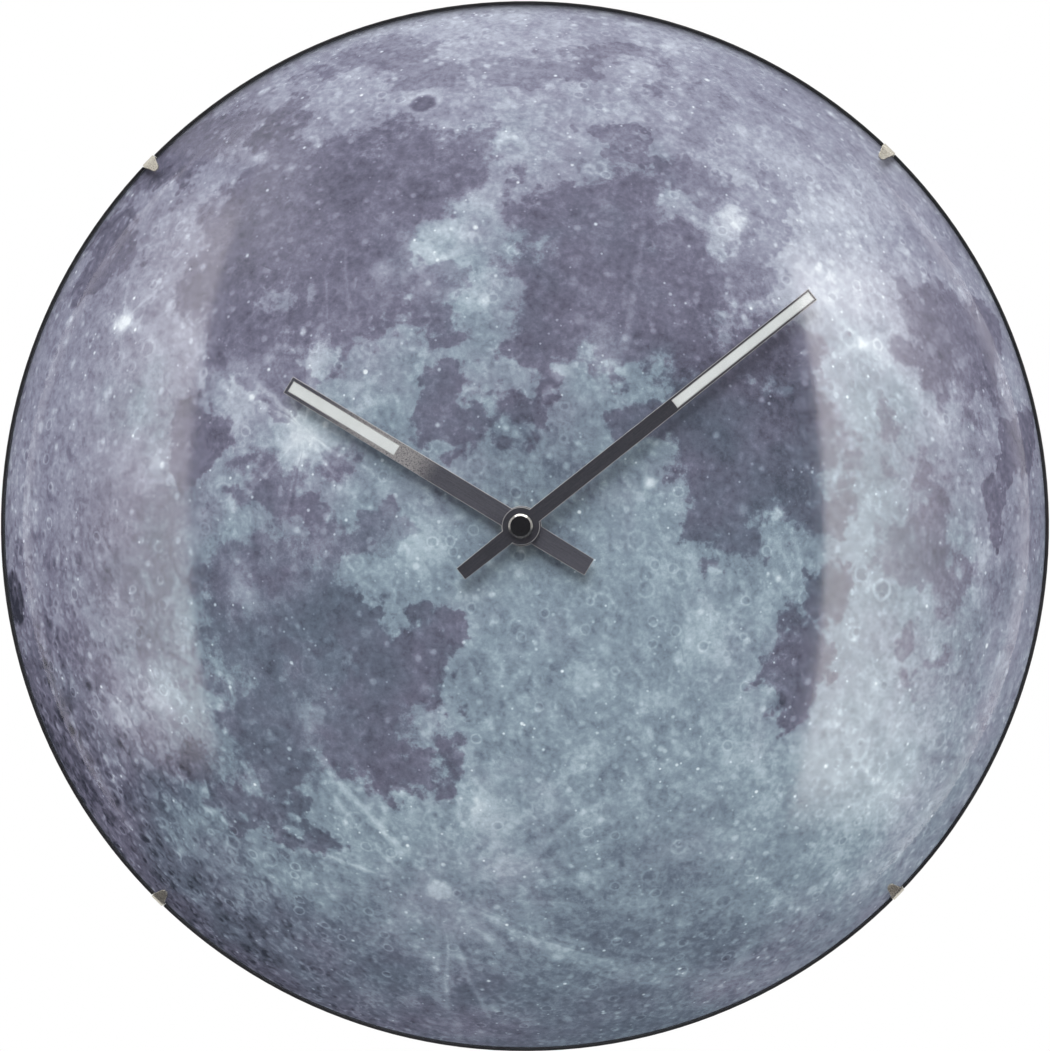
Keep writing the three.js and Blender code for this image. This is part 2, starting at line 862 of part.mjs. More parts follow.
function reverseWheel() {
  const pinionFront = hourWheelRear + wheelThickness + pinionOverlap;
  const stemRear = knobRear + knobThickness / 3 + seatGap;
  const wheelMiddle = reverseRear + wheelThickness / 2;
  const wheel = gear(
    reverseTeeth,
    cannonModule,
    reverseAxis,
    gapFacing(reverseDirection, reverseTeeth),
    reverseRear,
    reverseRear + wheelThickness,
  );
  const pinion = gear(
    reversePinionTeeth,
    hourModule,
    reverseAxis,
    reverseDirection + Math.PI,
    wheelMiddle,
    pinionFront,
  );
  return join(
    wheel,
    pinion,
    rod(reverseAxis, stemRadius, stemRear, wheelMiddle, pivotSides),
    rod(reverseAxis, pivotRadius, pinionFront - wheelThickness, caseInner + pivotDepth, pivotSides),
  );
}

const knobRear = movementRear - knobThickness - pinionOverlap;

function settingKnob() {
  const front = knobRear + knobThickness;
  const points = [];
  for (let ridge = 0; ridge < knobRidges; ridge += 1) {
    const middle = (2 * Math.PI * ridge) / knobRidges;
    const quarter = Math.PI / (2 * knobRidges);
    points.push(along(reverseAxis, middle - quarter, knobRadius));
    points.push(along(reverseAxis, middle + quarter, knobRadius));
    points.push(along(reverseAxis, middle + 2 * quarter, knobRadius - knobGrip));
  }
  const disc = extrude(polygon(points), knobRear, front);
  const holeRear = knobRear + knobThickness / 3;
  return cut(disc, rod(reverseAxis, stemRadius + pressGap, holeRear, front + overlap, pivotSides));
}

function rotorPinion() {
  const rear = intermediateRear - pinionOverlap;
  const front = intermediateRear + wheelThickness + pinionOverlap;
  return join(
    gear(pinionTeeth, rotorModule, rotorAxis, gapFacing(rotorDirection, pinionTeeth), rear, front),
    arbor(rotorAxis, coverInner + seatGap, plateRear - seatGap, pivotDepth),
  );
}

function rotorMagnet() {
  const rear = statorRear + statorThickness / 2 - magnetHeight / 2;
  const ring = tube(magnetRadius, arborRadius + pressGap, rear, rear + magnetHeight, smallSides);
  return ring.translate([rotorAxis[0], rotorAxis[1], 0]);
}

function intermediateWheel() {
  const wheel = gear(
    intermediateTeeth,
    rotorModule,
    intermediateAxis,
    rotorDirection,
    intermediateRear,
    intermediateRear + wheelThickness,
  );
  const pinion = gear(
    pinionTeeth,
    secondsModule,
    intermediateAxis,
    intermediateDirection + Math.PI,
    intermediateRear + wheelThickness / 2,
    secondsRear + wheelThickness + pinionOverlap,
  );
  return join(wheel, pinion, arbor(intermediateAxis, coverInner + seatGap, plateRear - seatGap, pivotDepth));
}

function secondsWheel() {
  const wheel = gear(
    secondsTeeth,
    secondsModule,
    centreAxis,
    gapFacing(intermediateDirection + Math.PI, secondsTeeth),
    secondsRear,
    secondsRear + wheelThickness,
  );
  const pinion = gear(
    pinionTeeth,
    thirdModule,
    centreAxis,
    thirdDirection,
    secondsRear + wheelThickness / 2,
    thirdRear + wheelThickness + pinionOverlap / 2,
  );
  return join(
    wheel,
    pinion,
    rod(centreAxis, secondsArborRadius, coverInner + seatGap, minuteArborFront - layerStep, pivotSides),
    rod(centreAxis, pivotRadius, coverInner - pivotDepth, secondsRear, pivotSides),
  );
}

function thirdWheel() {
  const wheel = gear(
    thirdTeeth,
    thirdModule,
    thirdAxis,
    gapFacing(thirdDirection, thirdTeeth),
    thirdRear,
    thirdRear + wheelThickness,
  );
  const pinion = gear(
    pinionTeeth,
    centreModule,
    thirdAxis,
    thirdDirection + Math.PI,
    thirdRear + wheelThickness / 2,
    centreRear + wheelThickness + pinionOverlap,
  );
  return join(wheel, pinion, arbor(thirdAxis, coverInner + seatGap, plateRear - seatGap, pivotDepth));
}

function centreWheel() {
  const front = centreRear + wheelThickness;
  const phase = gapFacing(thirdDirection + Math.PI, centreTeeth);
  const wheel = gear(centreTeeth, centreModule, centreAxis, phase, centreRear, front);
  const bore = minuteArborRadius + pivotClearance;
  return cut(wheel, rod(centreAxis, bore, centreRear - overlap, front + overlap));
}

// Stepper motor
function stator() {
  const front = statorRear + statorThickness;
  const [rotorX, rotorY] = rotorAxis;
  const holeRadius = magnetRadius + statorGap;
  const top = coilAxis + coreWidth / 2;
  const armTop = plateTop;
  const leftBottom = armTop - statorArm;
  const rightBottom = armTop - 1.5 * statorArm;
  const frame = join(
    rod(rotorAxis, holeRadius + statorRing, statorRear, front),
    block(statorLeft, rotorX - holeRadius, leftBottom, armTop, statorRear, front),
    block(statorLeft, statorLeft + statorArm, leftBottom, top, statorRear, front),
    block(rotorX + holeRadius, statorRight, rightBottom, rightBottom + statorArm, statorRear, front),
    block(statorRight - statorArm, statorRight, rightBottom, top, statorRear, front),
  );
  return cut(frame, rod([rotorX, rotorY], holeRadius, statorRear - overlap, front + overlap));
}

function coilCore() {
  const half = coreWidth / 2;
  const front = coreRear + statorThickness;
  return block(statorLeft, statorRight, coilAxis - half, coilAxis + half, coreRear, front);
}

const coilZ = coreRear + statorThickness / 2;
const coilMiddle = (statorLeft + statorRight) / 2;

// Turns a profile about the coil's own axis, which lies along x
function turnedOnCoil(profile) {
  const points = profile.map(([radius, level]) => new THREE.Vector2(radius, level));
  const geometry = new THREE.LatheGeometry(points, smallSides).rotateZ(-Math.PI / 2);
  return solid(geometry.translate(coilMiddle, coilAxis, coilZ));
}

function coilBobbin() {
  const half = coilLength / 2;
  const inner = half - coilFlange;
  return turnedOnCoil([
    [coilBore, -half],
    [coilRadius, -half],
    [coilRadius, -inner],
    [coilTube, -inner],
    [coilTube, inner],
    [coilRadius, inner],
    [coilRadius, half],
    [coilBore, half],
    [coilBore, -half],
  ]);
}

function coilWinding() {
  const half = coilLength / 2 - coilFlange - seatGap;
  return turnedOnCoil([
    [coilTube + seatGap, -half],
    [coilRadius - seatGap, -half],
    [coilRadius - seatGap, half],
    [coilTube + seatGap, half],
    [coilTube + seatGap, -half],
  ]);
}

// Circuit
function circuitBoard() {
  return block(boardLeft, boardRight, boardBottom, boardTop, boardRear, boardRear + boardThickness);
}

function quartzCrystal() {
  const geometry = new THREE.CylinderGeometry(crystalRadius, crystalRadius, crystalLength, pivotSides);
  const x = boardLeft + crystalInset;
  const y = (boardBottom + boardTop) / 2;
  return solid(geometry.translate(x, y, boardRear - seatGap - crystalRadius));
}

function clockChip() {
  const centre = [boardRight - chipInset, (boardBottom + boardTop) / 2];
  return rod(centre, chipRadius, boardRear - seatGap - chipHeight, boardRear - seatGap, pivotSides);
}

// Battery and its contact strips
function battery() {
  const bodyRight = batteryLeft + batteryLength;
  return join(
    barAlongX(batteryLeft, bodyRight, batteryY, batteryZ, batteryRadius, 2 * smallSides),
    barAlongX(bodyRight - overlap, batteryRight, batteryY, batteryZ, batteryNubRadius),
  );
}

const stripOuter = caseInside - seatGap;
const stripInner = stripOuter - stripThickness;

function contactPad(side, batteryEnd) {
  const reach = 1.5 * batteryNubRadius;
  const plate = block(
    Math.min(side * stripInner, side * stripOuter),
    Math.max(side * stripInner, side * stripOuter),
    batteryY - reach,
    batteryY + reach,
    stripRear,
    batteryZ + reach,
  );
  const bumpTip = batteryEnd + side * seatGap;
  const bumpRoot = side * (stripInner + stripThickness / 2);
  const left = Math.min(bumpTip, bumpRoot);
  const right = Math.max(bumpTip, bumpRoot);
  return join(plate, barAlongX(left, right, batteryY, batteryZ, batteryNubRadius, pivotSides));
}

function negativeContact() {
  const tail = block(-stripOuter, -stripInner, batteryY, boardTop - layerStep, stripRear, stripFront);
  return join(contactPad(-1, batteryLeft), tail);
}

function positiveContact() {
  const riser = block(stripInner, stripOuter, batteryY, stripOuter, stripRear, stripFront);
  const run = block(boardRight - layerStep, stripOuter, stripInner, stripOuter, stripRear, stripFront);
  return join(contactPad(1, batteryRight), riser, run);
}

// Materials
function finish(colour, roughness, metalness) {
  return () => new THREE.MeshStandardMaterial({ color: colour, roughness, metalness });
}

const clearGlass = () =>
  new THREE.MeshStandardMaterial({
    color: 0xe8eef0,
    roughness: 0.05,
    metalness: 0,
    transparent: true,
    opacity: 0.25,
  });
const moonPrint = finish(0x8f98a6, 0.55, 0);
const blackPlastic = finish(0x111214, 0.5, 0);
const glossBlack = finish(0x08080a, 0.15, 0);
const clipSteel = finish(0x8b867a, 0.35, 0.9);
const screwSteel = finish(0xa9abad, 0.35, 0.9);
const gunmetal = finish(0x3c3d43, 0.35, 0.8);
const luminousWhite = finish(0xd9dcdd, 0.6, 0);
const brass = finish(0xb08d4a, 0.35, 0.9);
const blackRubber = finish(0x151515, 0.85, 0);
const whitePlastic = finish(0xe6e4dc, 0.5, 0);
const greenBoard = finish(0x2f5a3c, 0.6, 0);
const copper = finish(0xb4653a, 0.4, 0.7);
const magnetGrey = finish(0x55565a, 0.45, 0.6);
const batteryJacket = finish(0x3a4a66, 0.4, 0.2);

// Assembly
const clock = new THREE.Group();
clock.name = "quartz_wall_clock";

const face = new THREE.Group();
face.name = "clock";
face.rotation.x = Math.PI / 2;
face.position.z = -hangerHeight;
clock.add(face);

function place(name, body, material) {
  const mesh = new THREE.Mesh(toGeometry(body), material());
  mesh.name = name;
  face.add(mesh);
}

place("back_panel", backPanel(), blackPlastic);
place("dial_sheet", dialSheet(), moonPrint);
place("dome_glass", domeGlass(), clearGlass);
clipAngles().forEach((angle, index) => {
  place(`glass_clip_${index + 1}`, glassClip(angle), clipSteel);
  place(`clip_screw_${index + 1}`, clipScrew(angle), screwSteel);
});
place("wall_hanger", wallHanger(), screwSteel);
hangerScrewCentres.forEach((centre, index) => {
  place(`hanger_screw_${index + 1}`, hangerScrew(centre), screwSteel);
});

place("movement_case", movementCase(), blackPlastic);
place("movement_cover", movementCover(), blackPlastic);
place("middle_plate", middlePlate(), whitePlastic);
place("shaft_bush", shaftBush(), brass);
place("rubber_washer", rubberWasher(), blackRubber);
place("brass_washer", brassWasher(), brass);
place("bush_nut", bushNut(), brass);

const hourBody = handBody(hourHand, hourCollarRear, hourHandRear, hourHandFront, hourPipeRadius);
const minuteBody = handBody(minuteHand, minuteCollarRear, minuteHandRear, minuteHandFront, minuteArborRadius);
place("hour_hand", hourBody, gunmetal);
place("hour_strip", handStrip(hourHand, hourHandFront), luminousWhite);
place("minute_hand", minuteBody, gunmetal);
place("minute_strip", handStrip(minuteHand, minuteHandFront), luminousWhite);
place("hand_cap", handCap(), glossBlack);

place("hour_wheel", hourWheel(), whitePlastic);
place("minute_arbor", minuteArbor(), brass);
place("clutch_spring", clutchSpring(), screwSteel);
place("reverse_wheel", reverseWheel(), whitePlastic);
place("setting_knob", settingKnob(), blackPlastic);
place("centre_wheel", centreWheel(), whitePlastic);
place("third_wheel", thirdWheel(), whitePlastic);
place("seconds_wheel", secondsWheel(), whitePlastic);
place("intermediate_wheel", intermediateWheel(), whitePlastic);
place("rotor_pinion", rotorPinion(), whitePlastic);
place("rotor_magnet", rotorMagnet(), magnetGrey);

place("stator", stator(), screwSteel);
place("coil_core", coilCore(), screwSteel);
place("coil_bobbin", coilBobbin(), whitePlastic);
place("coil_winding", coilWinding(), copper);
place("circuit_board", circuitBoard(), greenBoard);
place("quartz_crystal", quartzCrystal(), screwSteel);
place("clock_chip", clockChip(), blackPlastic);
place("battery", battery(), batteryJacket);
place("contact_negative", negativeContact(), screwSteel);
place("contact_positive", positiveContact(), screwSteel);

export default clock;
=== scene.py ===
import json
from math import asin, copysign, cos, hypot, pi, radians, sin, sqrt, tan

import bmesh
import bpy
from mathutils import Matrix, Quaternion, Vector

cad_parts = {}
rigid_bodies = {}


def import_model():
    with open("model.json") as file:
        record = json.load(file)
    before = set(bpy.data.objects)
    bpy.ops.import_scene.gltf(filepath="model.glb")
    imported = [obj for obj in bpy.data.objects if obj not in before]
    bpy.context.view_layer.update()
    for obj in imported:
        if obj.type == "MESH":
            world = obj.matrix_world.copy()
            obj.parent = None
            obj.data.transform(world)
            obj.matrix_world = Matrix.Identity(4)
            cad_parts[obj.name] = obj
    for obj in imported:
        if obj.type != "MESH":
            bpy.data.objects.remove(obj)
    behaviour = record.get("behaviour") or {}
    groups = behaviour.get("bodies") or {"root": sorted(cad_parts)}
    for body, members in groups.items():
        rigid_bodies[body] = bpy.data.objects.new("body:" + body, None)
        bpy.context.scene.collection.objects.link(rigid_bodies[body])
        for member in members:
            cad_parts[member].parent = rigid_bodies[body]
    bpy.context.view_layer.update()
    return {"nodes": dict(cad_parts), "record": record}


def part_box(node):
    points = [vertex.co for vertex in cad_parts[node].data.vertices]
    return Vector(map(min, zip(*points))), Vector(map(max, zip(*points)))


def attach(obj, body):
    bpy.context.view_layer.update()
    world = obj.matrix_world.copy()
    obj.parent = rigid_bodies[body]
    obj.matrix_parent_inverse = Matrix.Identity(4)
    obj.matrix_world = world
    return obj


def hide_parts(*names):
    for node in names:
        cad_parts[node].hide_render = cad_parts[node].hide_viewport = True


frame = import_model()

# Sizes in millimetres, drawn with x to the right, y up and z from the wall to the viewer
MM = 0.001
SEAT_GAP = 0.1
THREAD_GAP = 0.15
OVERLAP = 1.0
ROUND_SIDES = 192
SMALL_SIDES = 64
HOLE_SIDES = 24
SMOOTH_ANGLE = radians(32)
FLAT_ANGLE = radians(1)
CORNER_SHARE = 0.45
MERGE_DISTANCE = 0.0001
CAD_MERGE_DISTANCE = 0.001

# Back panel
PANEL_THICKNESS = 2.5
RIM_WALL = 0.9
RIM_SKIRT = 2.0
SHAFT_HOLE = 4.1
RING_CLEARANCE = 0.4
RING_WALL = 2.5
RIB_COUNT = 12
RIB_THICKNESS = 2.0
RIB_HEIGHT = 1.9
PANEL_EDGE = 0.25
HANGER_BOSS = 3.2
CLIP_BOSS = 4.0
CLIP_BOSS_HEIGHT = 2.5

# Dial and glass
DIAL_EDGE = 0.15
GLASS_THICKNESS = 4.0
GLASS_RIM = 2.5
GLASS_CHAMFER = 0.35
GLASS_STEPS = 28

# Clips
CLIP_COUNT = 4
CLIP_START = 45
CLIP_THICKNESS = 1.0
CLIP_WIDTH = 4.8
CLIP_TIP_WIDTH = 3.0
CLIP_TIP_END = 0.5
CLIP_TIP_STEPS = 10
CLIP_REACH = 4.9
CLIP_PROUD = 0.3
CLIP_SLACK = 0.6
CLIP_SCREW_INSET = 14.0
CLIP_BEND = 0.9
CLIP_BEND_STEPS = 5
CLIP_EDGE = 0.12

# Screws: the head's section has shares of its radius and levels over its rear
SCREW_RADIUS = 1.2
SCREW_HEAD = 2.6
SCREW_SECTION = [(0, 0), (0.45, 0.05), (0.8, 0.3), (0.97, 0.75), (1, 1.3), (0.96, 1.5)]
SCREW_CROSS = (1.7, 0.8, 0.8)
SCREW_POINT = 0.8
SCREW_SIDES = 40
SCREW_TURN = 17
SCREW_EDGE = 0.06

# Wall hanger
HANGER_CORNER = 4.0
HANGER_CORNER_STEPS = 8
HANGER_SCREW_SPACING = 34.0
HANGER_EDGE = 0.15
KEYHOLE_RADIUS = 5.0
KEYHOLE_SLOT = 5.0
KEYHOLE_DROP = 11.0

# Hands, with angles clockwise from twelve
HAND_THICKNESS = 0.7
HAND_EDGE = 0.22
BOSS_STEPS = 32
POCKET_DEPTH = 0.3
POCKET_GAP = 0.05
STRIP_EDGE = 0.06
HANDS = {
    "hour": {
        "angle": 301.9, "length": 91.1, "tail": 26.4, "hub_width": 6.7, "tip_width": 6.3, "boss": 6.7,
        "collar": 4.2, "bore": 2.62, "strip_start": 48.7, "strip_end": 89.9, "strip_width": 3.6,
    },
    "minute": {
        "angle": 52.3, "length": 123.6, "tail": 25.6, "hub_width": 5.2, "tip_width": 4.7, "boss": 6.3,
        "collar": 3.2, "bore": 1.62, "strip_start": 65.3, "strip_end": 122.7, "strip_width": 3.0,
    },
}
CAP_BORE = 1.62
CAP_ROOF = 0.9
CAP_EDGE = 0.7
CAP_SLOPE = 0.42
CAP_SHARP_ANGLE = radians(20)
CAP_SLOPE_FACING = (0.2, 0.98)

# Movement and battery
CASE_EDGE = 0.3
NUT_EDGE = 0.2
CONTACT_EDGE = 0.08
BATTERY_LIP = 0.5
BATTERY_DISH = 0.15
BATTERY_DISH_RIM = (2.2, 1.8)
NUB_RADIUS = 2.75
NUB_LENGTH = 1.5
NUB_EDGE = 0.35
NUB_GROOVE = 0.3
NUB_GROOVE_RIM = (1.2, 0.9)
KNOB_RIDGES = 20
KNOB_RIDGE_STEPS = 6
KNOB_GRIP = 0.5
KNOB_DISH = 0.35
KNOB_DISH_RIM = 1.6
KNOB_EDGE = 0.12

# Finishes
GRAIN_RELIEF = 0.05
BROAD_GRAIN = 14
GLOSS_SPREAD = 0.06
BRUSH_GRAIN = 0.12
BRUSH_STRETCH = 60.0
BRUSH_ROUGHNESS = (0.29, 0.43)
# The hour hand's painted highlight, a pale patch along it: where it starts, is full, fades and ends, and
# its colour
HOUR_PAINTED_HIGHLIGHT = (32, 44, 56, 82, (198, 193, 192))
GLASS_SHEEN = (0.042, 0.9)
GLASS_ROUGHNESS = (0.05, 0.08)
GLASS_TINT = (0.985, 0.99, 0.99, 1)
GROUND_TINT = (0.97, 0.98, 0.98, 1)
GROUND_COVER = 0.12
WHITE = (1, 1, 1, 1)

# Camera, taken from the photograph's frame
PHOTO_SIZE = (1050, 1051)
PHOTO_OUTLINE_RADIUS = 525.15
CAMERA_DISTANCE = 1.9
CAMERA_RIGHT = 3.4
CAMERA_ROLL = 0.7
CAMERA_AIM = (1.0, 0.2)
SENSOR = 36.0

# Panes of light beside the camera: metres, and degrees to the right of the hand axis
PANE_DISTANCE = 2.0
PANE_REACH = 0.95
PANE_BEND = 3.0
PANE_COLUMNS = 4
PANE_ROWS = 12
PANE_TINT = (1.0, 0.95, 0.95, 1)
PANE_OUTER_GLOW = 0.1
PANE_END = (0.5, 0.36)
# Each pane's inner and outer edge, its height over the hand axis and its glow
PANES = {"left_pane": (-31.4, -44, 0.18, 2.0), "right_pane": (22.4, 38.5, -0.05, 2.9)}

# Lamps above the camera: degrees over the hand axis, metres, watts, and whether they show in reflections
LAMP_DISTANCE = 1.7
LAMPS = {"upper": (54, (1.8, 0.45), 11, True), "key": (33, (0.9, 0.5), 16, False)}

# Where the room turns from dim to white, by how far a direction points right, back and up
BESIDE_BACK = (-0.74, -0.45)
BESIDE_UP = (-0.35, 0.0)
CORNER = (0.26, 0.44)
ABOVE = (0.52, 0.72)
BEHIND = (0.0, 0.4)
DIM = (0.12, 0.12, 0.13, 1)

# Floor, in metres from the hand axis
FLOOR_DROP = 1.0
FLOOR_AHEAD = 0.5
FLOOR_REACH = 8.0

# The Moon on the dial: degrees of latitude and longitude, and radii in degrees
MOON_RADIUS = 180.6
MOON_ROLL = 1.8
MOON_FACING_EAST = 4.5
MOON_FACING_NORTH = -0.5
# Each dark sea: how dark it is, and its round patches
SEAS = {
    "rains": (0.8, [
        (38, -21, 11), (42, -11, 8), (39, -30, 8), (44.5, -32, 5), (31, -23, 9), (25, -23, 7), (25, -30, 7),
        (33, -29, 8), (45, -20, 5), (45.5, -5, 4.4), (36, -8, 4), (22, -16, 3.6),
    ]),
    "marsh": (0.8, [(23.5, -4.5, 3.4)]),
    "serenity": (0.8, [
        (29, 15, 9.5), (27, 22, 9), (32, 18, 8.5), (25, 10, 6), (34, 11, 5), (21, 17, 5), (21, 26, 5),
        (29, 30, 4.4),
    ]),
    "tranquillity": (1, [
        (12, 28, 8), (8, 34, 8), (15, 34, 6), (4, 26, 5.4), (3, 33, 7), (17, 27, 4.4), (-1, 30, 4.8),
        (-4, 27, 4), (13, 20, 4), (2, 40, 4),
    ]),
    "nectar": (1, [(-14.5, 34.5, 4.5), (-10, 36, 3.4), (-18, 35, 3.2)]),
    "fertility": (0.7, [(1, 52, 6), (-4, 52, 6.5), (-9, 54, 5), (5, 46, 5), (-12, 52, 4)]),
    "crises": (0.74, [(17, 62.5, 7), (19, 59, 5), (14.5, 63.5, 6), (18, 67, 4.8)]),
    "clouds": (1.15, [
        (-22, -14, 6), (-17, -12, 5), (-25, -11, 4.6), (-12, -8, 3.6), (-8, -11.5, 3), (-20, -9, 4),
        (-14, -17, 3),
    ]),
    "known": (1, [
        (-6, -21, 4), (-3, -22, 2.6), (-11, -25, 3.6), (-14, -28.5, 5), (-12.5, -18.5, 3.2),
    ]),
    "known_shore": (0.75, [(-10, -24, 11), (-20, -27, 9), (-18, -15, 9)]),
    "moisture": (0.85, [
        (-24, -38.5, 5.5), (-24, -32.5, 4.6), (-28.5, -32, 4), (-24, -25, 3.6), (-28, -26, 2.4),
    ]),
    "south_shore": (0.95, [(-31, -28.5, 4.2), (-29.5, -25.5, 3), (-33, -25.5, 2.4)]),
    "storms": (0.23, [
        (18, -56, 13), (5, -50, 12), (-6, -50, 10), (30, -52, 9), (10, -36, 5), (14, -33, 3.4),
        (0, -34, 6), (-6, -40, 7),
    ]),
    "west_shore": (0.9, [(37, -53, 4.6), (33, -58, 4), (12, -32.5, 2.6)]),
    "dew": (0.5, [(48, -52, 6), (44, -58, 5)]),
    "islands": (0.75, [(6.5, -14, 4), (3, -24, 4.5), (0, -17, 4), (-1, -11, 3.4), (17.5, -23, 2.4)]),
    "cold": (0.6, [
        (59, -30, 3.6), (59.5, -19, 4), (58.5, -6, 4), (57, 8, 3), (56, 20, 3), (55, 34, 3.4),
    ]),
    "vapours": (0.85, [(13, 3, 3.6), (11, 8, 2.6), (13, -4, 3)]),
    "dreams": (0.6, [(37, 29, 3), (37, 40, 2.2), (33.5, 41, 1.6), (43, 22, 1.4)]),
    "eastern_limb": (0.7, [(7, 70, 1.6), (2.5, 66, 1.4), (-2, 86, 4)]),
}
DARK_CRATERS = [(51.6, -9.4, 1.5), (-5.5, -68, 3)]
# Number, latitude, longitude, reach of the rays in degrees, spokes and strength
RAY_CRATERS = [
    (0, -42.3, -9.9, 58, 11, 0.17), (1, 10.5, -19.5, 17, 7, 0.2), (2, 8.5, -38, 11, 6, 0.08),
    (3, 24, -48, 12, 5, 0.14), (4, 17.5, 46.8, 13, 7, 0.09), (5, -32, 53, 18, 6, 0.1),
    (6, 73, -10, 26, 6, 0.1), (7, 62, 50, 16, 5, 0.1),
]
RAY_SHIFT = 7.3
# Latitude, longitude, radius of the bright spot in degrees and strength; the last two spots are no craters
# but a painted reflection of a pane of light in the glass
BRIGHT_CRATERS_AND_PAINTED_GLINT = [
    (24, -48, 1.3, 0.36), (10.5, -19.5, 4.6, 0.15), (15, -27, 4, 0.16), (8.5, -38, 1.3, 0.12),
    (22, -20.3, 0.5, 0.34), (28.5, -11.5, 1.5, 0.2), (30, -5, 4.5, 0.14), (35, 0, 5, 0.08),
    (27, 1, 4, 0.08), (42, 5, 5, 0.06), (17.5, 46.8, 1, 0.22), (16, 9, 1.1, 0.2),
    (17.5, 15, 3.4, 0.12), (33, 33.5, 2.2, 0.14), (-0.4, 32.7, 0.9, 0.24), (3.5, 18.5, 0.8, 0.26),
    (-6.5, -27.5, 2.4, 0.16), (-14.5, -22.5, 1.8, 0.14), (-20, -21, 1.6, 0.14), (-16.5, -41, 3.6, 0.09),
    (-18, -48, 3, 0.12), (-2, -7, 4, 0.12), (-14, 24, 3.4, 0.1), (-26, 11, 2.4, 0.1),
    (-17, 11, 2, 0.12), (-33, -2, 3, 0.1), (-6, 62.5, 2.4, 0.16), (-10, 62, 1.8, 0.1),
]
# Latitude, longitude, radius, brightness of the floor and of the rim
RING_CRATERS = [
    (-42.3, -9.9, 1.4, 0.17, 0.05), (-8.7, 46.2, 1.05, -0.08, 0.13), (-7, 43.4, 0.8, -0.06, 0.07),
    (31.5, -3.6, 1.8, -0.04, 0.05), (-21.5, -15.4, 0.8, 0.04, 0.06), (51.6, -9.4, 1.7, 0, 0.06),
    (-20.5, 33.5, 1.6, -0.06, 0.08),
]
# Straight bright streaks: both ends, half width in degrees and strength
STREAKS = [
    (-39.5, -11.5, -22, -22.5, 0.8, 0.17), (-41, -13.5, -27, -22, 0.6, 0.09),
    (36, 22.8, 18, 17, 0.7, 0.08), (33, -16.8, 22, -14.6, 0.4, 0.07),
    (29, -18.6, 21, -17, 0.3, 0.06), (20, 46, 5, 59, 2.2, 0.08),
    (-45, -11, -64, -22, 0.8, 0.08), (-45, -8, -62, 12, 0.8, 0.08),
    (-43, -5, -45, 28, 1.5, 0.04), (-46, -10, -68, -9, 0.6, 0.08),
    (-40, -6, -24, 12, 0.8, 0.06), (-41, -14, -34, -30, 0.4, 0.06),
]
# Broad lighter and darker regions: latitude, longitude, radius and amount
# Among them, the darker region at the bottom and the lighter one at the top are painted shade and painted
# light, as from lamps above; the lighter region at the upper right is bright highland, partly a painted
# reflection of the glass
REGIONS = [
    (30, 44, 14, 0.15), (-72, 0, 36, -0.15), (-49, -45, 14, -0.08), (6, 8, 9, -0.05), (-35, 48, 18, 0.06),
    (66, 0, 18, 0.05), (-4, -40, 10, -0.08), (0, 72, 14, -0.05), (49, -50, 10, -0.07), (-23, -42, 8, -0.06),
]
# Small craters in random cells: cells over the Moon's radius, size in cells, then strength
PITS = [(9, 0.08), (19, 0.11), (38, 0.1)]
PIT_LIGHT = (0.8, 0.35, 0)
PIT_LIGHT_STEP = 0.09
CRATERS = [(7, 0.2, 0.05), (13, 0.22, 0.07), (24, 0.24, 0.09)]
SPECKS = [(14, 0.1, 0.4), (28, 0.14, 0.42), (52, 0.17, 0.34), (17, 0.34, 0.15), (36, 0.36, 0.17)]

# Brightness of the print before it is coloured, from 0 to 1, and how far noises move it
HIGHLAND_TONE = 0.58
HIGHLAND_MOTTLE = 0.50
HIGHLAND_DRIFT = 0.14
SEA_TONE = 0.375
SEA_MOTTLE = 0.42
SEA_DRIFT = 0.08
SEA_FRAY = 0.22
FINE_MOTTLE = 0.40
PAPER_GRAIN = 0.05
# The dark edge: how far it lies to the right and up, and its change of tone
SHADOW_SIDE = (-0.85, -0.53)
SHADOW_TONE = -0.26
# The print's colours: brightness, then the mauve and the cyan shade
PRINT_COLOURS = [
    (0.20, (44, 46, 62), (40, 48, 62)),
    (0.44, (116, 114, 135), (102, 113, 130)),
    (0.60, (155, 157, 175), (140, 157, 170)),
    (0.75, (192, 197, 210), (180, 196, 206)),
    (0.95, (238, 243, 248), (232, 241, 246)),
]
CYAN_REGION = (-24, 12, 52)


# Places and sizes read from the frame

def middle(node):
    low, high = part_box(node)
    return (low + high) / 2


AXIS_HEIGHT = middle("dial_sheet").z
TO_WORLD = Matrix.Translation((0, 0, AXIS_HEIGHT)) @ Matrix.Rotation(pi / 2, 4, "X") @ Matrix.Scale(MM, 4)
RECORD = frame["record"]
BODY_OF = {node: body for body, nodes in RECORD["behaviour"]["bodies"].items() for node in nodes}
SLOT_OF = {part["node"]: part["material_slot"] for part in RECORD["subparts"]}
LOOKS = {}
REPLACED = set()


def levels(node):
    """How far a node's rear and front lie from the wall."""
    low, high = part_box(node)
    return -high.y / MM, -low.y / MM


def radius_of(node):
    low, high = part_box(node)
    return (high.x - low.x) / 2 / MM


def drawn_place(node):
    place = middle(node)
    return place.x / MM, (place.z - AXIS_HEIGHT) / MM


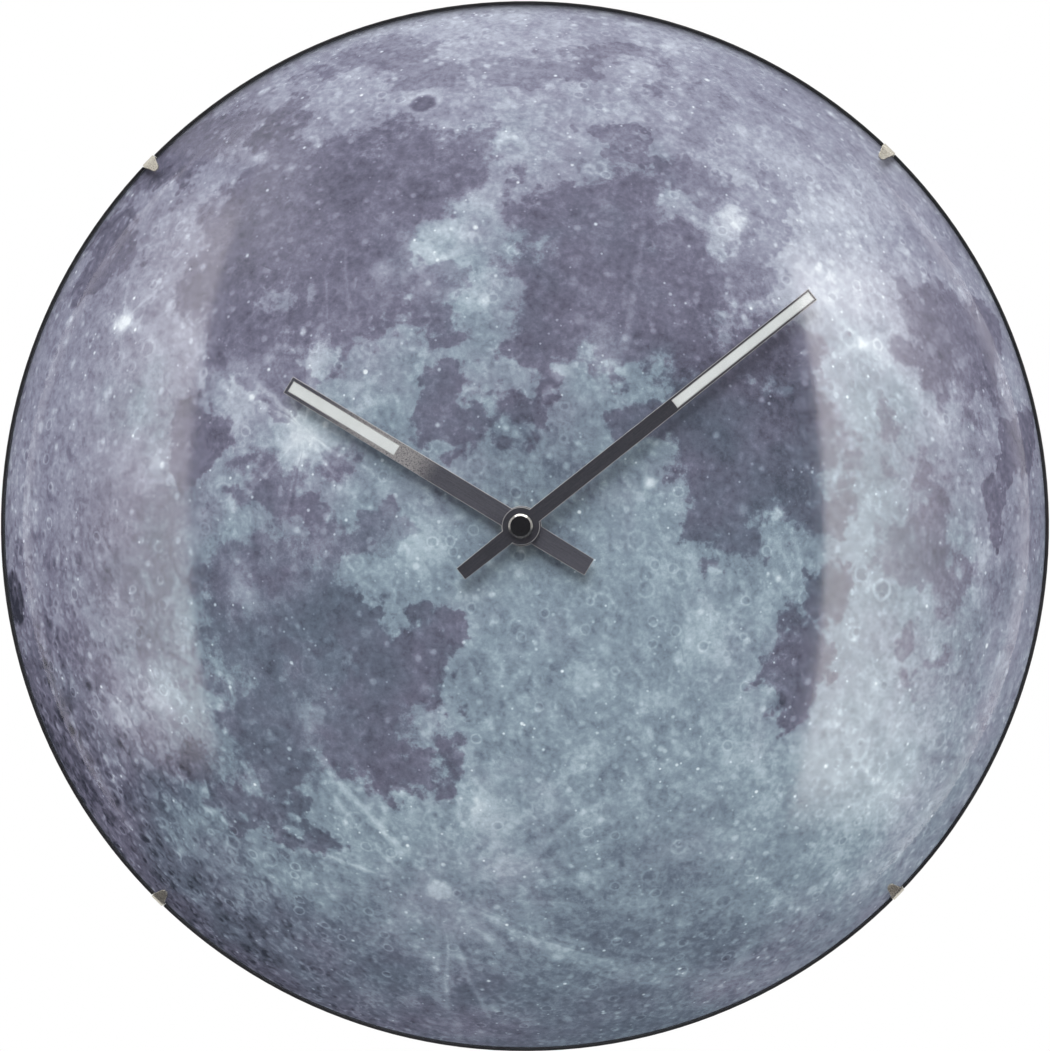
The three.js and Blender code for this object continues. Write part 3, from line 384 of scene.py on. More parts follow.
CLOCK_RADIUS = radius_of("back_panel")
RIM_INNER = CLOCK_RADIUS - RIM_WALL
LIP_TOP = levels("back_panel")[1]
DIAL_REAR, DIAL_FRONT = levels("dial_sheet")
PANEL_FRONT = DIAL_REAR - SEAT_GAP
PANEL_REAR = PANEL_FRONT - PANEL_THICKNESS
PANEL_MIDDLE = PANEL_REAR + PANEL_THICKNESS / 2
GLASS_RADIUS = radius_of("dome_glass")
GLASS_REAR, GLASS_TOP = levels("dome_glass")
DOME_RISE = GLASS_TOP - (GLASS_REAR + GLASS_RIM)
DOME_RADIUS = (GLASS_RADIUS**2 + DOME_RISE**2) / (2 * DOME_RISE)
DOME_CENTRE = GLASS_TOP - DOME_RADIUS
HANGER_REAR, HANGER_FRONT = levels("wall_hanger")
HANGER_HALF_WIDTH = radius_of("wall_hanger")
HANGER_MIDDLE = drawn_place("wall_hanger")[1]
HANGER_TOP = (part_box("wall_hanger")[1].z - AXIS_HEIGHT) / MM
HANGER_SCREWS = [(side * HANGER_SCREW_SPACING / 2, HANGER_MIDDLE) for side in (-1, 1)]
RING_INNER = hypot(HANGER_HALF_WIDTH, HANGER_TOP) + RING_CLEARANCE
RING_OUTER = RING_INNER + RING_WALL
CLIP_ANGLES = [CLIP_START + 360 / CLIP_COUNT * index for index in range(CLIP_COUNT)]
CLIP_SCREW_RADIUS = CLOCK_RADIUS - CLIP_SCREW_INSET


def dome_level(radius, sphere=DOME_RADIUS):
    return DOME_CENTRE + sqrt(sphere**2 - radius**2)


# Solids: bmesh bodies in millimetres

def circle(radius, sides, centre=(0, 0), start=0.0, end=2 * pi):
    whole = end - start > 2 * pi - 1e-6
    steps = sides if whole else sides + 1
    angles = [start + (end - start) * step / sides for step in range(steps)]
    return [(centre[0] + radius * cos(a), centre[1] + radius * sin(a)) for a in angles]


def eased(corners, radius, steps=3, closed=True):
    """An outline, or a line where it isn't closed, with a short curve in place of each corner."""
    shares = [step / steps for step in range(steps + 1)]
    points = []
    for index, corner in enumerate(corners):
        here = Vector(corner)
        if not closed and index in {0, len(corners) - 1}:
            points.append(here)
            continue
        before = Vector(corners[index - 1]) - here
        after = Vector(corners[(index + 1) % len(corners)]) - here
        start = here + before.normalized() * min(radius, before.length * CORNER_SHARE)
        end = here + after.normalized() * min(radius, after.length * CORNER_SHARE)
        points += [start * (1 - t) ** 2 + here * 2 * t * (1 - t) + end * t**2 for t in shares]
    return points


def skin(body, near, far):
    """Faces between two rings of corners."""
    for side, corner in enumerate(near):
        following = (side + 1) % len(near)
        corners = dict.fromkeys([corner, near[following], far[following], far[side]])
        if len(corners) > 2:
            body.faces.new(list(corners))


def turned(profile, sides=ROUND_SIDES):
    """A body turned about the z axis from (radius, level) points."""
    body = bmesh.new()
    rings = []
    for radius, level in profile:
        if radius < 1e-6:
            rings.append([body.verts.new((0, 0, level))] * sides)
        else:
            rings.append([body.verts.new((x, y, level)) for x, y in circle(radius, sides)])
    for near, far in zip(rings, rings[1:] + rings[:1]):
        skin(body, near, far)
    return tidy(body)


def prism(outline, low, high):
    body = bmesh.new()
    bottom, top = [[body.verts.new((x, y, level)) for x, y in outline] for level in (low, high)]
    body.faces.new(bottom)
    body.faces.new(top)
    skin(body, bottom, top)
    return tidy(body)


def rod(centre, radius, low, high, sides=SMALL_SIDES):
    return prism(circle(radius, sides, centre), low, high)


def block(x0, x1, y0, y1, low, high):
    return prism([(x0, y0), (x1, y0), (x1, y1), (x0, y1)], low, high)


def tidy(body):
    bmesh.ops.recalc_face_normals(body, faces=body.faces)
    return body


def moved(body, matrix):
    bmesh.ops.transform(body, matrix=matrix, verts=body.verts)
    return body


def turn(body, degrees):
    return moved(body, Matrix.Rotation(radians(degrees), 4, "Z"))


def move(body, x, y, z=0):
    return moved(body, Matrix.Translation((x, y, z)))


def plain_mesh(name, body):
    mesh = bpy.data.meshes.new(name)
    body.to_mesh(mesh)
    body.free()
    return mesh


def new_object(name, data):
    made = bpy.data.objects.new(name, data)
    bpy.context.scene.collection.objects.link(made)
    return made


def scratch_object(bodies):
    gathered = bmesh.new()
    for body in bodies:
        part = plain_mesh("part", body)
        gathered.from_mesh(part)
        bpy.data.meshes.remove(part)
    return new_object("scratch", plain_mesh("scratch", gathered))


def carve(operation, body, tools):
    """Joins the body with the tools, or cuts them out of it."""
    base = scratch_object([body])
    tool = scratch_object(tools)
    step = base.modifiers.new("carve", "BOOLEAN")
    step.operation = operation
    step.solver = "EXACT"
    step.object = tool
    shown = base.evaluated_get(bpy.context.evaluated_depsgraph_get())
    mesh = bpy.data.meshes.new_from_object(shown)
    result = bmesh.new()
    result.from_mesh(mesh)
    bpy.data.batch_remove([mesh, base.data, tool.data, base, tool])
    bmesh.ops.remove_doubles(result, verts=result.verts, dist=MERGE_DISTANCE)
    return result


def join(body, *tools):
    return carve("UNION", body, tools)


def cut(body, *tools):
    return carve("DIFFERENCE", body, tools)


# Pieces

def add_piece(name, body, node, *looks, edge=0.0, segments=2):
    """A piece in place of a CAD node, in the look of the node's slot unless looks are named."""
    mesh = plain_mesh(name, body)
    mesh.shade_smooth()
    mesh.set_sharp_from_angle(angle=SMOOTH_ANGLE)
    for look in looks or [SLOT_OF[node]]:
        mesh.materials.append(LOOKS[look])
    piece = new_object(name, mesh)
    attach(piece, BODY_OF[node])
    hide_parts(node)
    REPLACED.add(node)
    if edge:
        bevel = piece.modifiers.new("eased edges", "BEVEL")
        bevel.width = edge * MM
        bevel.segments = segments
        bevel.limit_method = "ANGLE"
        bevel.angle_limit = SMOOTH_ANGLE
        bevel.material = len(looks) - 1
        bevel.harden_normals = True
    return piece


def add_body(name, body, node, *looks, **edge):
    """A piece from a drawn body."""
    return add_piece(name, tidy(moved(body, TO_WORLD)), node, *looks, **edge)


# Shader nodes

class Graph:
    """Short names for shader nodes: each call adds what it needs and gives the output."""

    def __init__(self, tree):
        self.tree = tree

    def node(self, kind, inputs=None, **settings):
        node = self.tree.nodes.new(kind)
        for name, value in settings.items():
            setattr(node, name, value)
        for name, value in (inputs or {}).items():
            if isinstance(value, bpy.types.NodeSocket):
                self.tree.links.new(value, node.inputs[name])
            else:
                node.inputs[name].default_value = value
        return node

    def math(self, operation, *values):
        return self.node("ShaderNodeMath", dict(enumerate(values)), operation=operation).outputs[0]

    def vector(self, operation, *values):
        node = self.node("ShaderNodeVectorMath", dict(enumerate(values)), operation=operation)
        return node.outputs["Value" if operation in {"DOT_PRODUCT", "DISTANCE"} else "Vector"]

    def add(self, first, second):
        return self.math("ADD", first, second)

    def times(self, first, second):
        return self.math("MULTIPLY", first, second)

    def add_share(self, base, value, share):
        return self.math("MULTIPLY_ADD", value, share, base)

    def stir(self, base, noise, amount):
        """The base moved up and down by a noise."""
        return self.add_share(base, self.math("SUBTRACT", noise, 0.5), amount)

    def blend(self, first, second, share):
        """Two noises added, the first with its share and the second with the rest."""
        return self.add(self.times(first, share), self.times(second, 1 - share))

    def split(self, vector):
        return self.node("ShaderNodeSeparateXYZ", {"Vector": vector}).outputs

    def combine(self, x, y, z):
        return self.node("ShaderNodeCombineXYZ", {"X": x, "Y": y, "Z": z}).outputs[0]

    def place(self):
        return self.node("ShaderNodeTexCoord").outputs["Object"]

    def noise(self, vector, scale, detail, roughness, output=0):
        values = {"Vector": vector, "Scale": scale, "Detail": detail, "Roughness": roughness}
        return self.node("ShaderNodeTexNoise", values).outputs[output]

    def fleck(self, size, detail, roughness=0.6):
        """A noise on the piece itself, with grains of a size in millimetres."""
        return self.noise(self.place(), 1 / (size * MM), detail, roughness)

    def cells(self, vector, scale):
        """How far a place lies from its cell's middle, and a number drawn for the cell."""
        outputs = self.node("ShaderNodeTexVoronoi", {"Vector": vector, "Scale": scale}).outputs
        return outputs[0], self.split(outputs[1])[0]

    def spread(self, value, low, high, to_low=0.0, to_high=1.0, kind="SMOOTHSTEP"):
        values = {"Value": value, "From Min": low, "From Max": high, "To Min": to_low, "To Max": to_high}
        return self.node("ShaderNodeMapRange", values, interpolation_type=kind).outputs["Result"]

    def ramp(self, value, stops):
        """Colours, each by its 0 to 255 values on a screen, along a value."""
        node = self.node("ShaderNodeValToRGB", {"Fac": value})
        elements = node.color_ramp.elements
        while len(elements) < len(stops):
            elements.new(0.5)
        for element, (position, colour) in zip(elements, stops):
            element.position = position
            element.color = shade(*colour)
        return node.outputs["Color"]

    def mix(self, amount, first, second):
        values = {0: amount, 6: first, 7: second}
        return self.node("ShaderNodeMix", values, data_type="RGBA").outputs[2]

    def bump(self, height, strength, distance):
        values = {"Height": height, "Strength": strength, "Distance": distance * MM}
        return self.node("ShaderNodeBump", values).outputs["Normal"]

    def surface(self, colour, roughness, normal, metallic=0.0, specular=0.5):
        values = {"Base Color": colour, "Roughness": roughness, "Metallic": metallic, "Normal": normal}
        values["Specular IOR Level"] = specular
        return self.node("ShaderNodeBsdfPrincipled", values).outputs["BSDF"]

    def veil(self, tint, amount, shader):
        """A clear layer with a share of another shader over it."""
        through = self.node("ShaderNodeBsdfTransparent", {"Color": tint}).outputs[0]
        return self.node("ShaderNodeMixShader", {0: amount, 1: through, 2: shader}).outputs[0]


def shade(*screen):
    """A linear colour from the 0 to 255 values of a screen."""
    shares = [value / 255 for value in screen]
    return (*[s / 12.92 if s <= 0.04045 else ((s + 0.055) / 1.055) ** 2.4 for s in shares], 1)


def material(name, build):
    made = bpy.data.materials.new(name)
    made.use_nodes = True
    made.node_tree.nodes.clear()
    graph = Graph(made.node_tree)
    graph.node("ShaderNodeOutputMaterial", {"Surface": build(graph)})
    LOOKS[name] = made


def grained(name, dark, light, grain, roughness, metallic=0.0, bump=0.2, specular=0.5):
    """A surface whose colour, gloss and relief vary with a fine grain; grain is its size in millimetres."""
    def build(g):
        fine = g.fleck(grain, 5)
        blend = g.blend(fine, g.fleck(grain * BROAD_GRAIN, 3, 0.5), 0.6)
        return g.surface(
            colour=g.ramp(blend, [(0.35, dark), (0.65, light)]),
            roughness=g.spread(blend, 0.3, 0.7, roughness - GLOSS_SPREAD, roughness + GLOSS_SPREAD),
            metallic=metallic,
            specular=specular,
            normal=g.bump(fine, bump, GRAIN_RELIEF),
        )

    material(name, build)


def brushed(name, dark, light, hand, painted_highlight=None):
    """Metal with fine lines along a hand, and a pale patch of painted highlight if there is one."""
    def build(g):
        to_axis = {"Vector": g.place(), "Location": (0, 0, -AXIS_HEIGHT)}
        centred = g.node("ShaderNodeMapping", to_axis).outputs[0]
        to_hand = {"Vector": centred, "Rotation": (0, radians(90 - hand["angle"]), 0)}
        spun = g.node("ShaderNodeMapping", to_hand).outputs[0]
        across = 1 / (BRUSH_GRAIN * MM)
        lines = g.vector("MULTIPLY", spun, (1 / (BRUSH_GRAIN * BRUSH_STRETCH * MM), across, across))
        scratches = g.noise(lines, 1.0, 3, 0.6)
        speckle = g.fleck(0.5, 4)
        colour = g.ramp(g.blend(scratches, speckle, 0.65), [(0.3, dark), (0.7, light)])
        # A pale patch painted along the hand stands in for a highlight on the brushed metal
        if painted_highlight:
            start, full, fade, end, pale = painted_highlight
            along = g.split(spun)[0]
            patch = g.times(g.spread(along, start * MM, full * MM), g.spread(along, end * MM, fade * MM))
            colour = g.mix(g.times(patch, g.spread(speckle, 0.25, 0.6)), colour, shade(*pale))
        return g.surface(
            colour=colour,
            metallic=0.6,
            roughness=g.spread(scratches, 0.3, 0.7, *BRUSH_ROUGHNESS),
            normal=g.bump(scratches, 0.12, 0.02),
        )

    material(name, build)


# The Moon's face

def moon_direction(latitude, longitude):
    """The way from the Moon's middle to a place on it: to the right, up and towards the viewer."""
    lift = radians(latitude)
    swing = radians(longitude - MOON_FACING_EAST)
    place = Vector((cos(lift) * sin(swing), sin(lift), cos(lift) * cos(swing)))
    place.rotate(Quaternion((1, 0, 0), radians(MOON_FACING_NORTH)))
    place.rotate(Quaternion((0, 0, 1), radians(MOON_ROLL)))
    return place


def moon_place(g):
    """The point of the unit sphere that a point of the flat dial shows."""
    x, _, z = g.split(g.place())
    right = g.math("DIVIDE", x, MOON_RADIUS * MM)
    up = g.math("DIVIDE", g.math("SUBTRACT", z, AXIS_HEIGHT), MOON_RADIUS * MM)
    flat = g.add(g.times(right, right), g.times(up, up))
    out = g.math("SQRT", g.math("MAXIMUM", g.math("SUBTRACT", 1.0, flat), 0.0))
    return g.combine(right, up, out)


def warped(g, place, scale, amount, detail):
    """The place pushed about by a noise, so that outlines become ragged."""
    push = g.vector("SUBTRACT", g.noise(place, scale, detail, 0.6, output=1), (0.5, 0.5, 0.5))
    return g.vector("ADD", place, g.vector("MULTIPLY", push, [amount] * 3))


def cap_depth(g, place, latitude, longitude, radius):
    """How far inside a round patch a place lies, in radians; negative outside."""
    reach = radians(radius)
    closeness = g.vector("DOT_PRODUCT", place, moon_direction(latitude, longitude))
    return g.add_share(-1 / tan(reach), closeness, 1 / sin(reach))


def sea_cover(g, place):
    """How strongly the dark seas cover a place."""
    ragged = warped(g, place, 7, 0.05, 4)
    frayed = g.add_share(-SEA_FRAY / 2, g.noise(place, 20, 8, 0.78), SEA_FRAY)
    cover = None
    for strength, patches in SEAS.values():
        depth = None
        for patch in patches:
            inside = cap_depth(g, ragged, *patch)
            depth = inside if depth is None else g.math("SMOOTH_MAX", depth, inside, 0.05)
        sea = g.spread(g.add(depth, frayed), -0.02, 0.03, 0.0, strength)
        cover = sea if cover is None else g.math("MAXIMUM", cover, sea)
    for crater in DARK_CRATERS:
        pond = g.spread(cap_depth(g, place, *crater), -0.004, 0.008)
        cover = g.math("MAXIMUM", cover, pond)
    return cover


def ray_system(g, place, index, latitude, longitude, degrees, spokes, strength):
    """Bright streaks that run out from a young crater."""
    reach = radians(degrees)
    centre = moon_direction(latitude, longitude)
    side = centre.cross(Vector((0, 1, 0))).normalized()
    ahead = side.cross(centre)
    heading = g.combine(g.vector("DOT_PRODUCT", place, side), g.vector("DOT_PRODUCT", place, ahead), 0.0)
    away = g.vector("DISTANCE", place, centre)
    spoke = g.vector("MULTIPLY", g.vector("NORMALIZE", heading), [spokes / 3] * 3)
    spoke = g.vector("ADD", spoke, (index * RAY_SHIFT, 0, 0))
    streaks = g.spread(g.noise(spoke, 1.0, 3, 0.62), 0.5, 0.72)
    fade = g.times(g.spread(away, 0.0, reach * 0.2), g.spread(away, reach, 0.0))
    halo = g.spread(away, reach * 0.35, 0.0)
    return g.times(g.add(g.times(streaks, fade), g.times(halo, 0.35)), strength)


def soft_spot(g, place, latitude, longitude, radius, amount):
    away = g.vector("DISTANCE", place, moon_direction(latitude, longitude))
    return g.spread(away, radians(radius) * 1.4, radians(radius) * 0.2, 0.0, amount)


def ring_crater(g, place, latitude, longitude, radius, floor, rim):
    """A round crater with a level floor and a raised bright rim."""
    reach = radians(radius)
    away = g.vector("DISTANCE", place, moon_direction(latitude, longitude))
    inside = g.spread(away, reach * 1.15, reach * 0.65, 0.0, floor)
    ridge = g.math("ABSOLUTE", g.math("SUBTRACT", away, reach))
    return g.add(inside, g.spread(ridge, reach * 0.42, 0.0, 0.0, rim))


def streak(g, place, latitude, longitude, end_latitude, end_longitude, width, strength):
    """A straight bright ray between two places, brightest along its middle line."""
    first = moon_direction(latitude, longitude)
    last = moon_direction(end_latitude, end_longitude)
    reach = (last - first).length / 2
    aside = g.math("ABSOLUTE", g.vector("DOT_PRODUCT", place, first.cross(last).normalized()))
    along = g.vector("DISTANCE", place, ((first + last) / 2).normalized())
    line = g.spread(aside, radians(width), 0.0, 0.0, strength)
    return g.times(line, g.spread(along, reach, reach * 0.55))


def pits(g, place, scale, depth):
    """Round pits with raised rims, lit from one side."""
    def height(where):
        reach = g.cells(where, scale)[0]
        return g.times(g.spread(reach, 0.12, 0.34), g.spread(reach, 0.62, 0.34))

    shifted = g.vector("ADD", place, Vector(PIT_LIGHT) * (PIT_LIGHT_STEP / scale))
    return g.times(g.math("SUBTRACT", height(place), height(shifted)), depth)


def craters(g, place, scale, size, strength):
    """Round craters in some of the cells: a bright rim about a darker floor."""
    reach, chance = g.cells(place, scale)
    chosen = g.spread(chance, 0.55, 0.75, 0.0, strength)
    rim = g.spread(g.math("ABSOLUTE", g.math("SUBTRACT", reach, size)), size * 0.32, 0.0)
    floor = g.spread(reach, size, size * 0.6, 0.0, -0.5)
    return g.times(g.add(rim, floor), chosen)


def specks(g, place, scale, size, strength):
    """Small bright young craters, some brighter than others."""
    reach, chance = g.cells(place, scale)
    dot = g.spread(reach, size, size * 0.25, 0.0, strength)
    return g.times(dot, g.times(chance, chance))


def moon_ground(g, place, cover):
    """Brightness of highlands and seas, without their craters."""
    broad = g.noise(place, 2.6, 3, 0.55)
    mottle = g.math("SUBTRACT", g.noise(warped(g, place, 9, 0.05, 2), 11, 8, 0.74), 0.5)
    mottle = g.times(mottle, g.spread(g.split(place)[2], 0.2, 0.6, 0.5, 1.0))
    highland = g.stir(g.add_share(HIGHLAND_TONE, mottle, HIGHLAND_MOTTLE), broad, HIGHLAND_DRIFT)
    sea = g.stir(g.add_share(SEA_TONE, mottle, SEA_MOTTLE), broad, SEA_DRIFT)
    tone = g.spread(cover, 0.0, 1.0, highland, sea, kind="LINEAR")
    return g.stir(tone, g.noise(place, 58, 5, 0.78), FINE_MOTTLE)


def moon_tone(g, place, cover):
    """Brightness of the print before it is coloured."""
    streaky = warped(g, place, 7, 0.04, 2)
    broken = warped(g, place, 16, 0.016, 4)
    near_shadow = g.vector("DOT_PRODUCT", place, Vector((*SHADOW_SIDE, 0)).normalized())
    rough = g.add(g.spread(cover, 1.0, 0.0, 0.3, 0.8), g.spread(near_shadow, 0.55, 0.95, 0.0, 1.8))
    layers = [
        # Broad regions, with painted shade at the bottom, painted light at the top and a partly painted
        # reflection at the upper right
        (soft_spot, place, REGIONS, 1.0),
        (ray_system, streaky, RAY_CRATERS, 1.0),
        # Bright craters, and among them two spots of painted reflection
        (soft_spot, streaky, BRIGHT_CRATERS_AND_PAINTED_GLINT, 1.0),
        (ring_crater, broken, RING_CRATERS, 1.0),
        (streak, broken, STREAKS, 1.0),
        (pits, place, PITS, rough),
        (craters, broken, CRATERS, g.math("MINIMUM", rough, 1.2)),
        (specks, place, SPECKS, 1.0),
    ]
    tone = g.add(moon_ground(g, place, cover), g.spread(near_shadow, 0.72, 0.98, 0.0, SHADOW_TONE))
    for draw, where, rows, share in layers:
        for row in rows:
            tone = g.add_share(tone, draw(g, where, *row), share)
    return tone


def moon_colour(g, place, tone, cover):
    mauve, cyan = [g.ramp(tone, [(row[0], row[column]) for row in PRINT_COLOURS]) for column in (1, 2)]
    share = g.stir(cap_depth(g, place, *CYAN_REGION), g.noise(place, 3.1, 4, 0.6), 2.0)
    share = g.add_share(share, cover, -0.35)
    return g.mix(g.spread(share, -0.45, 0.45), mauve, cyan)


def moon_print(g):
    place = moon_place(g)
    cover = sea_cover(g, place)
    grain = g.fleck(0.35, 3)
    tone = g.stir(moon_tone(g, place, cover), grain, PAPER_GRAIN)
    return g.surface(
        colour=moon_colour(g, place, tone, cover),
        roughness=g.spread(grain, 0.3, 0.7, 0.5, 0.6),
        specular=0.3,
        normal=g.bump(grain, 0.08, 0.02),
    )


# Other finishes

def clear_glass(g):
    """Glass that lets the dial through and reflects more at a glancing angle."""
    facing = g.node("ShaderNodeLayerWeight", {"Blend": 0.5}).outputs["Facing"]
    least, glancing = GLASS_SHEEN
    sheen = g.add_share(least, g.math("POWER", facing, 5.0), glancing)
    roughness = g.spread(g.fleck(60, 3, 0.5), 0.3, 0.7, *GLASS_ROUGHNESS)
    gloss = g.node("ShaderNodeBsdfGlossy", {"Color": WHITE, "Roughness": roughness}).outputs[0]
    return g.veil(GLASS_TINT, sheen, gloss)


def ground_glass(g):
    """The dull edge of the cut glass."""
    grain = g.fleck(0.3, 4)
    colour = g.ramp(grain, [(0.35, (112, 116, 126)), (0.65, (140, 144, 154))])
    dull = g.surface(colour=colour, roughness=0.5, normal=g.bump(grain, 0.2, 0.05))
    return g.veil(GROUND_TINT, GROUND_COVER, dull)


def luminous_white(g):
    grain = g.fleck(0.25, 4)
    blend = g.blend(grain, g.fleck(9, 3, 0.5), 0.4)
    colour = g.ramp(blend, [(0.3, (207, 210, 208)), (0.7, (222, 224, 223))])
    return g.surface(colour=colour, roughness=0.6, normal=g.bump(grain, 0.15, 0.03))


def battery_jacket(g):
    """A plain two-tone wrapper and bare metal ends."""
    low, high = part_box("battery")
    share = g.spread(g.split(g.place())[0], low.x, high.x, kind="LINEAR")
    grain = g.fleck(0.4, 3)
    stops = [
        (0.0, (150, 150, 150)), (0.018, (40, 52, 78)), (0.70, (46, 58, 86)), (0.705, (176, 150, 92)),
        (0.955, (176, 150, 92)), (0.965, (160, 160, 160)),
    ]
    colour = g.ramp(g.stir(share, grain, 0.004), stops)
    return g.surface(colour=colour, roughness=0.32, metallic=0.6, normal=g.bump(grain, 0.05, 0.02))


grained("black_plastic", (20, 20, 22), (34, 34, 37), 0.5, 0.42, bump=0.25)
grained("gloss_black", (8, 8, 10), (16, 16, 18), 0.6, 0.16, bump=0.03)
grained("clip_steel", (186, 180, 168), (212, 208, 196), 0.35, 0.28, metallic=1.0)
grained("plated_steel", (168, 170, 172), (205, 207, 208), 0.6, 0.34, metallic=0.9)
grained("polished_metal", (158, 154, 150), (186, 182, 176), 0.3, 0.12, metallic=1.0, bump=0.02)
# Pale metal on the hands' eased edges: a painted highlight along the edges
grained("edge_metal", (176, 172, 172), (206, 203, 200), 0.3, 0.45, metallic=0.3)
grained("brass", (176, 142, 76), (214, 180, 108), 0.4, 0.3, metallic=0.95)
grained("black_rubber", (20, 20, 20), (36, 36, 36), 0.4, 0.8, specular=0.3)
grained("white_plastic", (214, 212, 202), (236, 234, 226), 0.5, 0.45)
grained("magnet", (74, 75, 80), (104, 105, 110), 0.3, 0.45, metallic=0.6)
grained("copper", (150, 78, 40), (196, 116, 66), 0.15, 0.35, metallic=0.8, bump=0.5)
grained("green_board", (30, 78, 46), (46, 104, 62), 0.8, 0.4)
grained("pale_floor", (228, 228, 228), (238, 238, 238), 6.0, 0.7)
# Both hands are one gunmetal in a lit and a shaded tone: the hour hand's lighter colour is a painted sheen,
# the minute hand's darker colour painted shade
brushed("hour_gunmetal", (78, 78, 88), (120, 119, 128), HANDS["hour"], HOUR_PAINTED_HIGHLIGHT)
brushed("minute_gunmetal", (56, 56, 64), (88, 87, 94), HANDS["minute"])
for finish in (clear_glass, ground_glass, moon_print, luminous_white, battery_jacket):
    material(finish.__name__, finish)


# Back panel

def panel_rib(angle):
    half = RIB_THICKNESS / 2
    start = RING_OUTER - RING_WALL / 2
    end = RIM_INNER + RIM_WALL / 2
    return turn(block(start, end, -half, half, PANEL_REAR - RIB_HEIGHT, PANEL_MIDDLE), angle)


def clip_boss(angle):
    boss = rod((CLIP_SCREW_RADIUS, 0), CLIP_BOSS, PANEL_REAR - CLIP_BOSS_HEIGHT, PANEL_MIDDLE)
    return turn(boss, angle)


def clip_notch(angle):
    half = (CLIP_WIDTH + CLIP_SLACK) / 2
    inner = CLOCK_RADIUS + CLIP_PROUD - CLIP_THICKNESS - CLIP_SLACK / 2
    low = PANEL_REAR - RIM_SKIRT - OVERLAP
    return turn(block(inner, CLOCK_RADIUS + OVERLAP, -half, half, low, LIP_TOP + OVERLAP), angle)


def add_panel():
    corners = [
        (SHAFT_HOLE, PANEL_REAR), (RING_INNER, PANEL_REAR), (RING_INNER, 0), (RING_OUTER, 0),
        (RING_OUTER, PANEL_REAR), (RIM_INNER, PANEL_REAR), (RIM_INNER, PANEL_REAR - RIM_SKIRT),
        (CLOCK_RADIUS, PANEL_REAR - RIM_SKIRT), (CLOCK_RADIUS, LIP_TOP), (RIM_INNER, LIP_TOP),
        (RIM_INNER, PANEL_FRONT), (SHAFT_HOLE, PANEL_FRONT),
    ]
    boss_rear = HANGER_FRONT + SEAT_GAP
    hanger_bosses = [rod(place, HANGER_BOSS, boss_rear, PANEL_REAR + OVERLAP) for place in HANGER_SCREWS]
    ribs = [panel_rib(360 / RIB_COUNT * index) for index in range(RIB_COUNT)]
    clip_bosses = [clip_boss(angle) for angle in CLIP_ANGLES]
    body = join(turned(eased(corners, PANEL_EDGE)), *ribs, *clip_bosses, *hanger_bosses)
    body = cut(body, *[clip_notch(angle) for angle in CLIP_ANGLES])
    add_body("panel", body, "back_panel")


# Dial and glass

def add_dial():
    corners = [(SHAFT_HOLE, DIAL_REAR), (GLASS_RADIUS, DIAL_REAR)]
    corners += [(GLASS_RADIUS, DIAL_FRONT), (SHAFT_HOLE, DIAL_FRONT)]
    add_body("dial", turned(eased(corners, DIAL_EDGE)), "dial_sheet")


def dome_arc(sphere, rim):
    """Points of a dome's section from its top to the rim radius."""
    radii = [rim * step / GLASS_STEPS for step in range(GLASS_STEPS + 1)]
    return [(radius, dome_level(radius, sphere)) for radius in radii]


def add_glass():
    inner = DOME_RADIUS - GLASS_THICKNESS
    inner_rim = sqrt(inner**2 - (GLASS_REAR - DOME_CENTRE) ** 2)
    edge = [
        (GLASS_RADIUS, dome_level(GLASS_RADIUS) - GLASS_CHAMFER),
        (GLASS_RADIUS, GLASS_REAR + GLASS_CHAMFER),
        (GLASS_RADIUS - GLASS_CHAMFER, GLASS_REAR),
    ]
    profile = dome_arc(DOME_RADIUS, GLASS_RADIUS - GLASS_CHAMFER) + edge + dome_arc(inner, inner_rim)[::-1]
    body = turned(profile, 2 * ROUND_SIDES)
    glass = add_body("glass", body, "dome_glass", "clear_glass", "ground_glass")
    edge_start = GLASS_RADIUS - GLASS_CHAMFER * 1.01
    for face in glass.data.polygons:
        places = [glass.data.vertices[index].co for index in face.vertices]
        reach = min(hypot(place.x, place.z - AXIS_HEIGHT) for place in places)
        if reach / MM > edge_start:
            face.material_index = 1


# Clips

def clip_line():
    """Side view of a clip's middle line, from the flange behind the panel to the tip on the glass."""
    half = CLIP_THICKNESS / 2
    outer = CLOCK_RADIUS + CLIP_PROUD
    tip = outer - CLIP_REACH
    slope = (dome_level(GLASS_RADIUS) - dome_level(tip)) / (GLASS_RADIUS - tip)
    tab_level = dome_level(tip) + SEAT_GAP + half * sqrt(1 + slope**2)
    corner_level = tab_level + slope * (outer - half - tip)
    flange = levels("glass_clip_1")[0] + half
    start = (CLIP_SCREW_RADIUS - CLIP_BOSS, flange)
    return [start, (outer - half, flange), (outer - half, corner_level), (tip, tab_level)]


def tip_half_width(left, length):
    """Half the tab's width: it tapers over its length to a round tip."""
    tip_round = CLIP_TIP_WIDTH / 2
    if left < tip_round:
        return max(sqrt(tip_round**2 - (tip_round - left) ** 2), CLIP_TIP_END)
    return tip_round + (CLIP_WIDTH / 2 - tip_round) * (left - tip_round) / (length - tip_round)


